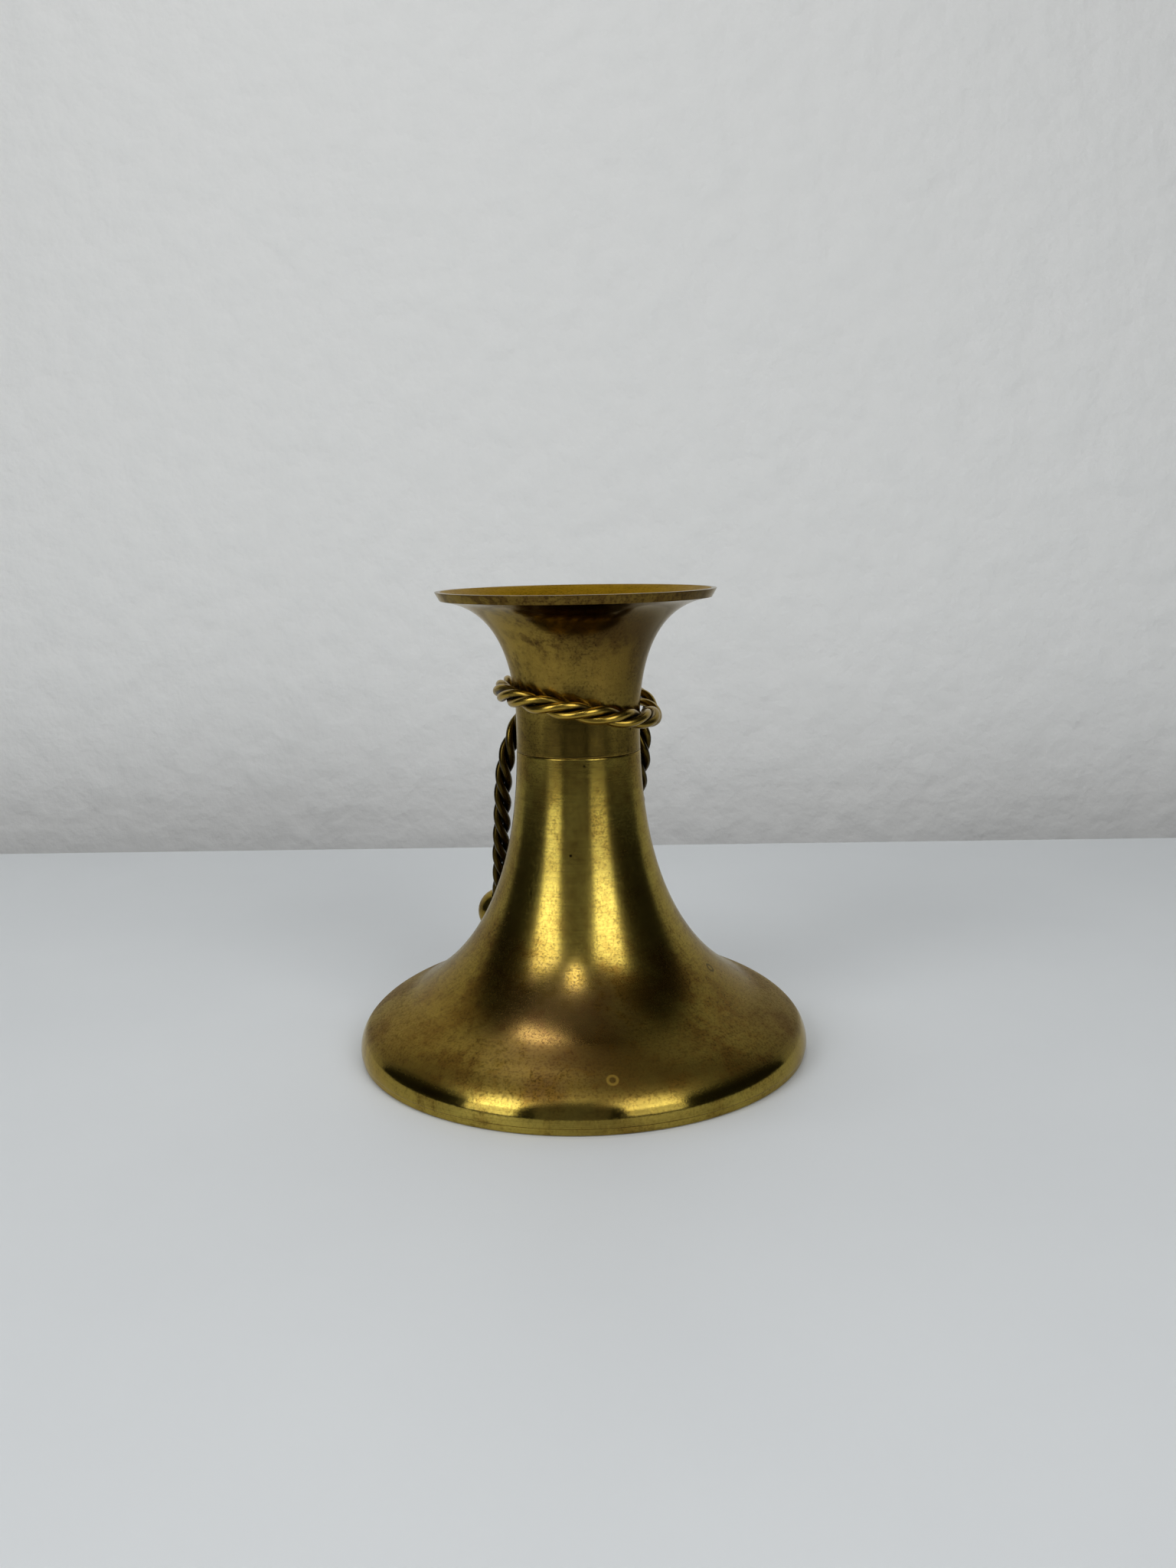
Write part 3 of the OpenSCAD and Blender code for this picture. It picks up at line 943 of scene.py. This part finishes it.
@dataclass
class CandleCup:
    """Turned cup with its drip rim, candle socket and centring boss.

    Attributes:
        outline: The outside.
        socket_r: Radius of the candle socket in millimetres.
        floor_h: Height of the socket's floor.
        socket_top: Height of the socket's mouth.
        hollow_lead: Length over which the socket's wall leads into the hollow.
        lip_lead: Length over which the lip's slope leads back into it.
        lip_w: Width of the flat lip.
        boss_r: Radius of the boss that enters the foot.
        boss_low: Height of the boss's end.
        hole_r: Radius of the screw's hole.
        hole_top: Height of its end.
        lip_edge: Width of the chamfer on the rim's upper edge.
        margin: Height below the socket's floor that still has the inner finish.
        corner: How far from a corner its rounding starts.
        sides: Sides of the turned piece.
    """

    outline: HolderOutline
    socket_r: float = 11.3
    floor_h: float = 68.4
    socket_top: float = 85.4
    hollow_lead: float = 10.0
    lip_lead: float = 5.0
    lip_w: float = 1.1
    boss_r: float = 5.9
    boss_low: float = 62.5
    hole_r: float = 2.05
    hole_top: float = 67.2
    lip_edge: float = 0.05
    margin: float = 0.1
    corner: float = 0.16
    sides: int = 224

    def hollow(self) -> list[Vector]:
        """Work out the inside of the flare.

        Returns:
            The points from the socket's mouth out to the lip.
        """
        o = self.outline
        slope = math.radians(o.rim_slope)
        lip = Vector((o.rim_r - self.lip_w, o.height))
        return cubic(Vector((self.socket_r, self.socket_top)),
                     Vector((self.socket_r, self.socket_top + self.hollow_lead)),
                     lip - self.lip_lead * Vector((math.cos(slope), math.sin(slope))),
                     lip, o.steps)

    def profile(self) -> list[Vector]:
        """Work out the section of the cup.

        Returns:
            The outline from the axis round to the axis.
        """
        o = self.outline
        above = o.seam_h + o.seam_chamfer
        points = [Vector((0, self.hole_top)), Vector((self.hole_r, self.hole_top)),
                  Vector((self.hole_r, self.boss_low)), Vector((self.boss_r, self.boss_low)),
                  Vector((self.boss_r, o.seam_h)),
                  Vector((o.radius(o.seam_h) - o.seam_chamfer, o.seam_h)),
                  Vector((o.radius(above), above))]
        points += o.between(above, o.height - o.rim_h)
        points += [Vector((o.rim_r - o.rim_taper, o.height - o.rim_h)),
                   Vector((o.rim_r, o.height - self.lip_edge)),
                   Vector((o.rim_r - self.lip_edge, o.height))]
        points += list(reversed(self.hollow()))
        return points + [Vector((self.socket_r, self.floor_h)), Vector((0, self.floor_h))]

    def build(self) -> bpy.types.Object:
        """Spin the cup and give its inside a finish of its own.

        Returns:
            The finished cup.
        """
        piece = spun("brass_candle_cup", softened(self.profile(), self.corner, closed=False),
                     self.sides, closed=False)
        piece.data.materials.append(CUP_BRASS.build())
        piece.data.materials.append(INNER_BRASS.build())
        for face in piece.data.polygons:
            away = Vector((face.center.x, face.center.y, 0))
            inside = face.normal.dot(away) < 0 or away.length < self.socket_r * MM
            if inside and face.center.z > (self.floor_h - self.margin) * MM:
                face.material_index = 1
        smooth(piece)
        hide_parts("candle_cup")
        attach(piece, "holder")
        return piece


@dataclass
class Fixings:
    """Screw and washer under the cup, as their solids are, but plated.

    Attributes:
        nodes: The part's own pieces by name.
    """

    nodes: dict[str, bpy.types.Object]

    def build(self) -> None:
        """Plate both pieces."""
        plating = ZINC_STEEL.build()
        for name in ("cup_screw", "cup_washer"):
            node = self.nodes[name]
            node.data.materials.clear()
            node.data.materials.append(plating)


# The rope


def around(azimuth: float, radius: float, height: float) -> Vector:
    """Turn a place round the Z axis.

    Args:
        azimuth: Angle from +X in degrees.
        radius: Distance from the axis.
        height: Height.

    Returns:
        The place.
    """
    turn = math.radians(azimuth)
    return Vector((radius * math.cos(turn), radius * math.sin(turn), height))


def spline(a: Vector, b: Vector, c: Vector, d: Vector, t: float) -> Vector:
    """Find a place on a smooth curve from b to c.

    Args:
        a: Point before b, which leads the curve.
        b: Start of the curve.
        c: End of the curve.
        d: Point after c, which leads the curve.
        t: Share of the way, from 0 to 1.

    Returns:
        The place.
    """
    return (b * 2 + (c - a) * t + (a * 2 - b * 5 + c * 4 - d) * t * t
            + (b * 3 - a - c * 3 + d) * t**3) / 2


@dataclass
class TailBall:
    """Plain ball drilled for the rope's end.

    Attributes:
        name: Name of the piece.
        node: The CAD node it stands for.
        azimuth: Where it lies round the holder, in degrees.
        flare_share: Height of the nearest metal, as a share of the knot's height.
        radius: Radius of the ball in millimetres.
        gap: Gap between ball and flare.
        hole_depth: Depth of the rope's hole.
        hole_play: Play of the rope in its hole.
        reach: Height over which the flare's slope is taken.
        corner: How far from a corner its rounding starts.
        arcs: Stretches in the ball's outline.
        sides: Sides of the turned piece.
    """

    name: str
    node: str
    azimuth: float
    flare_share: float
    radius: float = 5.4
    gap: float = 0.25
    hole_depth: float = 3.0
    hole_play: float = 0.08
    reach: float = 0.225
    corner: float = 0.15
    arcs: int = 40
    sides: int = 96

    def centre(self, outline: HolderOutline, knot_h: float) -> Vector:
        """Find the middle of the ball, which hangs just off the flare.

        Args:
            outline: The outside.
            knot_h: Height of the knot in millimetres.

        Returns:
            The ball's middle.
        """
        flare_h = self.flare_share * knot_h
        rise = (outline.radius(flare_h + self.reach) - outline.radius(flare_h - self.reach)) / (
            self.reach * 2)
        normal = Vector((1, -rise)).normalized()
        away = Vector((outline.radius(flare_h), flare_h)) + normal * (self.radius + self.gap)
        return around(self.azimuth, away.x, away.y)

    def build(self, centre: Vector, up: Vector, rope_r: float,
              finish: bpy.types.Material) -> bpy.types.Object:
        """Spin the ball and turn it to meet the rope.

        Args:
            centre: Middle of the ball in millimetres.
            up: Direction in which the rope leaves it.
            rope_r: Radius of the rope.
            finish: The ball's material.

        Returns:
            The finished ball.
        """
        hole_r = rope_r + self.hole_play
        low = self.radius - self.hole_depth - self.hole_play
        start = math.acos(hole_r / self.radius)
        angles = (start - (start + math.pi / 2) * i / self.arcs for i in range(self.arcs + 1))
        arc = [Vector((self.radius * math.cos(a), self.radius * math.sin(a))) for a in angles]
        arc[-1].x = 0
        outline = [Vector((0, low)), Vector((hole_r, low))] + arc
        piece = spun(self.name, softened(outline, self.corner, closed=False), self.sides,
                     closed=False)
        turn = up.to_track_quat("Z", "Y").to_matrix().to_4x4()
        piece.matrix_world = Matrix.Translation(centre * MM) @ turn
        piece.select_set(True)
        bpy.ops.object.transform_apply(location=True, rotation=True, scale=True)
        piece.data.materials.append(finish)
        smooth(piece)
        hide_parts(self.node)
        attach(piece, "rope")
        return piece


@dataclass
class WireRope:
    """Left-handed rope of brass wires, looped round the neck and tied at the back.

    The rows of a run are (azimuth in degrees, share of the way from loop to knot outwards, rise
    in rope widths), and those of a tail are (azimuth, share of the knot's height, distance from
    the outside in rope widths).

    Attributes:
        outline: The outside.
        wire_r: Radius of a wire in millimetres.
        lay_r: Distance of the wires' middles from the rope's middle.
        wires: Number of wires.
        lay_pitch: Length of rope in which the wires go once round, in knot and tails.
        loop_pitch: The same length in the loop.
        lay_start: Angle of the first wire at the right ball, in degrees.
        gap: Gap between rope and neck.
        loop_h: Height of the loop's middle.
        loop_fall: How much higher the loop's left side is than its right.
        loop_step: Degrees between the loop's points.
        knot_h: Height of the knot.
        knot_rise: How far above the knot's height the winding starts, and below it ends.
        knot_gap: Gap between them.
        knot_half_angle: Half of the angle that the knot covers.
        knot_start: Angle at which their winding starts.
        knot_turn: Degrees by which they wind round each other.
        knot_steps: Stretches of the winding.
        ring_step: Length of rope between two rings of its skin, as in the solids.
        route_steps: Stretches between two points of the route.
        evenings: Times that the middle line is evened.
        fineness: Stretches of the round wires to one of the solids'.
        wire_rounding: Half of the sides that a wire's section has beyond four.
        wire_shade: Largest angle in degrees that is smoothed on a wire.
        left_run: The rope from the loop's left side to the knot.
        right_run: The rope from the loop's right side to the knot.
        left_tail: The tail on the left, from the knot down.
        right_tail: The tail on the right.
        left_ball: The ball on the left tail.
        right_ball: The ball on the right tail.
    """

    outline: HolderOutline
    wire_r: float = 0.9
    lay_r: float = 1.15
    wires: int = 3
    lay_pitch: float = 15.8
    loop_pitch: float = 18.6
    lay_start: float = 23.0
    gap: float = 0.35
    loop_h: float = 76.0
    loop_fall: float = 6.0
    loop_step: int = 15
    knot_h: float = 74.4
    knot_rise: float = 0.65
    knot_gap: float = 0.6
    knot_half_angle: float = 40.0
    knot_start: float = 100.0
    knot_turn: float = 540.0
    knot_steps: int = 12
    ring_step: float = 1.422
    route_steps: int = 8
    evenings: int = 2
    fineness: int = 3
    wire_rounding: int = 5
    wire_shade: float = 50.0
    left_run: tuple[Triple, ...] = ((165, 0.04, 0.12), (152, 0.14, 0.22), (141, 0.32, 0.06))
    right_run: tuple[Triple, ...] = ((12, 0.05, 0.07), (24, 0.3, 0.3), (35, 0.7, 0.6))
    left_tail: tuple[Triple, ...] = (
        (131.8, 0.951, 0.94), (135.6, 0.912, 1.06), (138.7, 0.856, 1.32), (138.8, 0.779, 1.6),
        (136.8, 0.706, 1.79), (134.7, 0.625, 1.9), (132.7, 0.538, 1.92), (130.2, 0.457, 1.82),
        (128.6, 0.404, 1.71))
    right_tail: tuple[Triple, ...] = (
        (45, 0.944, 0.76), (41, 0.918, 0.74), (39.6, 0.871, 0.69), (41, 0.823, 0.67),
        (44.5, 0.775, 0.69), (49, 0.703, 0.74), (54.5, 0.618, 0.83), (59.5, 0.538, 0.92),
        (64, 0.464, 1.0))
    left_ball: TailBall = field(default_factory=lambda: TailBall(
        "brass_ball_left", "left_tail_ball", 125.3, 0.2486))
    right_ball: TailBall = field(default_factory=lambda: TailBall(
        "brass_ball_right", "right_tail_ball", 71.0, 0.3095))

    @property
    def radius(self) -> float:
        """Radius of the whole rope."""
        return self.lay_r + self.wire_r

    def hug(self, height: float) -> float:
        """Radius at which the rope lies on the outside."""
        return self.outline.radius(height) + self.gap + self.radius

    def loop_point(self, azimuth: float) -> Vector:
        """Find a point of the loop round the neck.

        Args:
            azimuth: Where round the neck, in degrees.

        Returns:
            The point.
        """
        fall = self.loop_fall / 2
        return around(azimuth, self.hug(self.loop_h + fall),
                      self.loop_h - fall * math.cos(math.radians(azimuth)))

    def knot_point(self, share: float, side: int) -> Vector:
        """Find a point of one of the two ropes that wind round each other in the knot.

        Args:
            share: Share of the way through the knot, from left to right.
            side: 1 for one rope and -1 for the other.

        Returns:
            The point.
        """
        spread = self.radius + self.knot_gap / 2
        turn = math.radians(self.knot_start - self.knot_turn * share)
        middle = 1 - 2 * share
        return around(90 + self.knot_half_angle * middle,
                      self.hug(self.knot_h) + spread + side * spread * math.cos(turn),
                      self.knot_h + self.knot_rise * middle + side * spread * math.sin(turn))

    def run_points(self, run: tuple[Triple, ...]) -> list[Vector]:
        """Find the points from the loop towards the knot.

        Args:
            run: Triples of the run.

        Returns:
            The points.
        """
        loop_r = self.hug(self.loop_h + self.loop_fall / 2)
        knot_r = self.hug(self.knot_h) + self.radius + self.knot_gap / 2
        return [around(azimuth, loop_r + (knot_r - loop_r) * out,
                       self.loop_point(azimuth).z + self.radius * 2 * rise)
                for azimuth, out, rise in run]

    def tail_points(self, tail: tuple[Triple, ...]) -> list[Vector]:
        """Find the points of a tail that hangs from the knot."""
        return [around(azimuth, self.hug(self.knot_h * share) + self.radius * 2 * off,
                       self.knot_h * share) for azimuth, share, off in tail]

    def ball_entry(self, ball: TailBall, tail: list[Vector]) -> list[Vector]:
        """Find the rope's straight end in a ball.

        Args:
            ball: The ball.
            tail: Points of the tail above it.

        Returns:
            The points from just outside the ball's hole down to its floor.
        """
        centre = ball.centre(self.outline, self.knot_h)
        up = (tail[-1] - centre).normalized()
        return [centre + up * (ball.radius + self.radius), centre + up * ball.radius,
                centre + up * (ball.radius - ball.hole_depth)]

    def route(self) -> tuple[list[Vector], int, int]:
        """Join the points from the right ball round the neck to the left ball.

        Returns:
            The points, and the numbers of the loop's first and last point.
        """
        left, right = self.tail_points(self.left_tail), self.tail_points(self.right_tail)
        knot = [i / self.knot_steps for i in range(self.knot_steps, -1, -1)]
        points = list(reversed(self.ball_entry(self.right_ball, right))) + list(reversed(right))
        points += [self.knot_point(share, 1) for share in knot]
        points += list(reversed(self.run_points(self.left_run)))
        first = len(points)
        points += [self.loop_point(a) for a in range(180, 361, self.loop_step)]
        last = len(points) - 1
        points += self.run_points(self.right_run)
        points += [self.knot_point(share, -1) for share in knot]
        points += left + self.ball_entry(self.left_ball, left)
        return points, first, last

    @staticmethod
    def smoothed(points: list[Vector], steps: int) -> list[Vector]:
        """Run a smooth line through points.

        Args:
            points: The points.
            steps: Stretches from each point to the next.

        Returns:
            The line's points.
        """
        last = len(points) - 1
        result = []
        for i in range(last):
            a = points[0] * 2 - points[1] if i == 0 else points[i - 1]
            d = points[last] * 2 - points[i] if i == last - 1 else points[i + 2]
            result += [spline(a, points[i], points[i + 1], d, k / steps) for k in range(steps)]
        return result + [points[last]]

    def middle_line(self) -> tuple[list[Vector], list[float]]:
        """Work out the rope's middle line, and how far the wires go round along it.

        Returns:
            The points in millimetres, and the turn at each point in degrees.
        """
        route, first, last = self.route()
        fine = self.smoothed(route, self.route_steps)
        runs = [0.0]
        for before, after in zip(fine, fine[1:]):
            runs.append(runs[-1] + (after - before).length)
        length = runs[-1]
        rings = math.ceil(length / self.ring_step)
        even, i = [], 0
        for k in range(rings + 1):
            run = length * k / rings
            while i < len(fine) - 2 and runs[i + 1] < run:
                i += 1
            even.append(fine[i].lerp(fine[i + 1], (run - runs[i]) / (runs[i + 1] - runs[i])))
        for _ in range(self.evenings):
            even = [p if k in (0, rings) else (even[k - 1] + p * 2 + even[k + 1]) / 4
                    for k, p in enumerate(even)]
        line = self.smoothed(even, self.fineness)
        loop_from, loop_to = runs[first * self.route_steps], runs[last * self.route_steps]
        turns = []
        for k in range(len(line)):
            run = length * k / (len(line) - 1)
            in_loop = min(max(run - loop_from, 0), loop_to - loop_from)
            turns.append(360 * (in_loop / self.loop_pitch + (run - in_loop) / self.lay_pitch))
        return line, turns

    def wire_lines(self) -> tuple[list[Vector], list[list[Vector]]]:
        """Work out where the wires run.

        Returns:
            The rope's middle line and each wire's, in millimetres.
        """
        line, turns = self.middle_line()
        last = len(line) - 1
        along = [(line[min(i + 1, last)] - line[max(i - 1, 0)]).normalized()
                 for i in range(last + 1)]
        out = line[0].copy()
        outs = []
        for direction in along:
            out = (out - out.dot(direction) * direction).normalized()
            outs.append(out)
        wires = []
        for number in range(self.wires):
            start = self.lay_start + 360 * number / self.wires
            wire = []
            for i in range(last + 1):
                turn = math.radians(start - turns[i])
                offset = math.cos(turn) * outs[i] + math.sin(turn) * along[i].cross(outs[i])
                wire.append(line[i] + self.lay_r * offset)
            wires.append(wire)
        return line, wires

    def wire(self, number: int, points: list[Vector], middle: list[Vector],
             finish: bpy.types.Material) -> bpy.types.Object:
        """Sweep one wire along its line.

        Args:
            number: The wire's number, from 1.
            points: The wire's middle line in millimetres.
            middle: The rope's middle line.
            finish: The wire's material.

        Returns:
            The finished wire.
        """
        deselect_everything()
        bpy.ops.curve.primitive_bezier_curve_add(location=(0, 0, 0))
        piece = bpy.context.object
        curve = piece.data
        curve.splines.clear()
        strand = curve.splines.new("POLY")
        strand.points.add(len(points) - 1)
        for target, point in zip(strand.points, points):
            target.co = (*(point * MM), 1)
        curve.dimensions = "3D"
        curve.bevel_depth = self.wire_r * MM
        curve.bevel_resolution = self.wire_rounding
        curve.use_fill_caps = True
        bpy.ops.object.convert(target="MESH")
        piece = bpy.context.object
        piece.name = piece.data.name = f"brass_rope_wire_{number}"
        # The crest share runs from 0 deep between the wires to 1 on the rope's outside, and the
        # material paints shade in the grooves by it
        crest = piece.data.attributes.new("crest", "FLOAT", "POINT")
        sides = len(piece.data.vertices) // len(points)
        for i, vertex in enumerate(piece.data.vertices):
            away = (vertex.co / MM - middle[min(i // sides, len(middle) - 1)]).length
            crest.data[i].value = (away - (self.lay_r - self.wire_r)) / (2 * self.wire_r)
        piece.data.materials.clear()
        piece.data.materials.append(finish)
        smooth(piece, self.wire_shade)
        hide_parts(f"rope_wire_{number}")
        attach(piece, "rope")
        return piece

    def build(self) -> list[bpy.types.Object]:
        """Make the wires and both balls.

        Returns:
            All the rope's pieces.
        """
        middle, wires = self.wire_lines()
        finish = ROPE_BRASS.build()
        pieces = [self.wire(i + 1, wire, middle, finish) for i, wire in enumerate(wires)]
        polish = BALL_BRASS.build()
        for ball, tail in ((self.left_ball, self.left_tail), (self.right_ball, self.right_tail)):
            centre = ball.centre(self.outline, self.knot_h)
            up = (self.tail_points(tail)[-1] - centre).normalized()
            pieces.append(ball.build(centre, up, self.radius, polish))
        return pieces


# Table, light and camera

# Height in metres at which the lights aim
HOLDER_MIDDLE = 0.05


@dataclass(frozen=True)
class Panel:
    """A soft light seen from the holder.

    Attributes:
        name: Name of the light.
        azimuth: Degrees to the right of the view's front.
        elevation: Degrees above the horizon.
        distance: Metres from the holder.
        width: Width in metres.
        height: Height in metres.
        brightness: Radiance of its face.
        roll: Degrees it is turned about its own direction.
    """

    name: str
    azimuth: float
    elevation: float
    distance: float
    width: float
    height: float
    brightness: float
    roll: float = 0.0

    def build(self) -> None:
        """Place the light so that it faces the holder's middle."""
        deselect_everything()
        bpy.ops.object.light_add(type="AREA", location=(0, 0, 0))
        lamp = bpy.context.object
        lamp.name = self.name
        lamp.data.shape = "RECTANGLE"
        lamp.data.size, lamp.data.size_y = self.width, self.height
        lamp.data.energy = self.brightness * math.pi * self.width * self.height
        azimuth, elevation = math.radians(self.azimuth), math.radians(self.elevation)
        away = Vector((math.sin(azimuth) * math.cos(elevation),
                       -math.cos(azimuth) * math.cos(elevation), math.sin(elevation)))
        lamp.location = Vector((0, 0, HOLDER_MIDDLE)) + away * self.distance
        lamp.rotation_mode = "QUATERNION"
        roll = Quaternion((0, 0, 1), math.radians(self.roll))
        lamp.rotation_quaternion = away.to_track_quat("Z", "Y") @ roll
        lamp.visible_camera = False


@dataclass
class Studio:
    """Pale table and wall, soft panels and the camera of the photograph.

    The ends of table and wall show as dark edges in the polished neck and flare.

    Attributes:
        table_end: How far behind the holder the table ends, in millimetres.
        table_size: Width and depth of the table in metres.
        wall_y: How far behind the holder the wall is, in millimetres.
        wall_size: Width and height of the wall in metres.
        wall_middle: Height of the wall's middle in metres.
        wall_turn: Turn of table and wall about the upright axis, in degrees.
        room: Radiance of the rest of the room.
        camera_place: Where the camera was, in millimetres.
        camera_right: Its right side, as a direction.
        camera_up: Its upper side, as a direction.
        camera_back: Its back, as a direction.
        lens: Focal length in millimetres.
        sensor: Longer side of the sensor in millimetres.
        near: Distance in metres from which things show.
        panels: The soft lights.
    """

    table_end: float = 190.0
    table_size: Point = (1.1, 0.4)
    wall_y: float = 250.0
    wall_size: Point = (1.25, 3.0)
    wall_middle: float = 1.3
    wall_turn: float = -1.3
    room: float = 0.015
    camera_place: Triple = (0, -280.86, 110.59)
    camera_right: Triple = (0.99980487, -0.00991943, -0.01709911)
    camera_up: Triple = (0.01862453, 0.18274784, 0.98298339)
    camera_back: Triple = (-0.00662581, -0.98311005, 0.18289693)
    lens: float = 30.4
    sensor: float = 36.0
    near: float = 0.01
    panels: tuple[Panel, ...] = (
        Panel("left_panel", -44.5, 31, 0.70, 0.30, 0.38, 3.95),
        Panel("right_panel", 33.0, 31, 0.70, 0.34, 0.40, 3.65),
        Panel("left_sill", -44.5, 7, 0.70, 0.30, 0.20, 1.95),
        Panel("right_sill", 33.0, 7, 0.70, 0.34, 0.20, 1.6),
        Panel("front_card", -6, 16, 0.72, 0.45, 0.6, 0.16),
        Panel("overhead_panel", 0, 88, 0.90, 0.9, 0.9, 0.17),
        Panel("ceiling_lamp", -10, 54, 0.70, 0.12, 0.11, 7.5),
        Panel("rear_lamp", -114, 78, 0.60, 0.075, 0.26, 6.0, 24),
    )

    def surface(self, name: str, size: Point, place: Vector, turn: Triple,
                finish: PlainFinish) -> None:
        """Add one flat surface of the studio.

        Args:
            name: Name of the surface.
            size: Its width and depth in metres.
            place: Its middle in metres.
            turn: Its turn about each axis in radians.
            finish: Its paint.
        """
        deselect_everything()
        bpy.ops.mesh.primitive_plane_add(size=1, location=place, rotation=turn)
        piece = bpy.context.object
        piece.name = piece.data.name = name
        piece.scale = (*size, 1)
        bpy.ops.object.transform_apply(location=True, rotation=True, scale=True)
        piece.data.materials.append(finish.build())

    def camera(self) -> None:
        """Set the camera where the photograph was taken from."""
        bpy.ops.object.camera_add(location=(0, 0, 0))
        camera = bpy.context.object
        camera.data.lens = self.lens
        camera.data.sensor_width = self.sensor
        camera.data.clip_start = self.near
        turn = Matrix((self.camera_right, self.camera_up, self.camera_back)).transposed()
        camera.matrix_world = Matrix.Translation(Vector(self.camera_place) * MM) @ turn.to_4x4()
        bpy.context.scene.camera = camera

    def build(self) -> None:
        """Make the camera, the surfaces and the light."""
        self.camera()
        turn = math.radians(self.wall_turn)
        middle = self.table_end * MM - self.table_size[1] / 2
        self.surface("tabletop", self.table_size, Vector((0, middle, 0)), (0, 0, turn),
                     TABLE_PAINT)
        self.surface("back_wall", self.wall_size,
                     Vector((0, self.wall_y * MM, self.wall_middle)), (math.pi / 2, 0, turn),
                     WALL_PAINT)
        for panel in self.panels:
            panel.build()
        world = bpy.data.worlds.new("room")
        bpy.context.scene.world = world
        world.use_nodes = True
        world.node_tree.nodes["Background"].inputs["Color"].default_value = (
            self.room, self.room, self.room, 1)
        bpy.context.scene.view_settings.view_transform = "Standard"


def main() -> None:
    """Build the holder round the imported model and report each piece."""
    logging.basicConfig(level=logging.INFO, format="%(name)s: %(message)s")
    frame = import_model()
    deselect_everything()
    Studio().build()
    outline = HolderOutline()
    pieces = [BellFoot(outline).build(), CandleCup(outline).build()]
    Fixings(frame["nodes"]).build()
    pieces += WireRope(outline).build()
    for piece in pieces:
        LOG.info("%s: %d faces", piece.name, len(piece.data.polygons))
    deselect_everything()


if __name__ == "__main__":
    main()
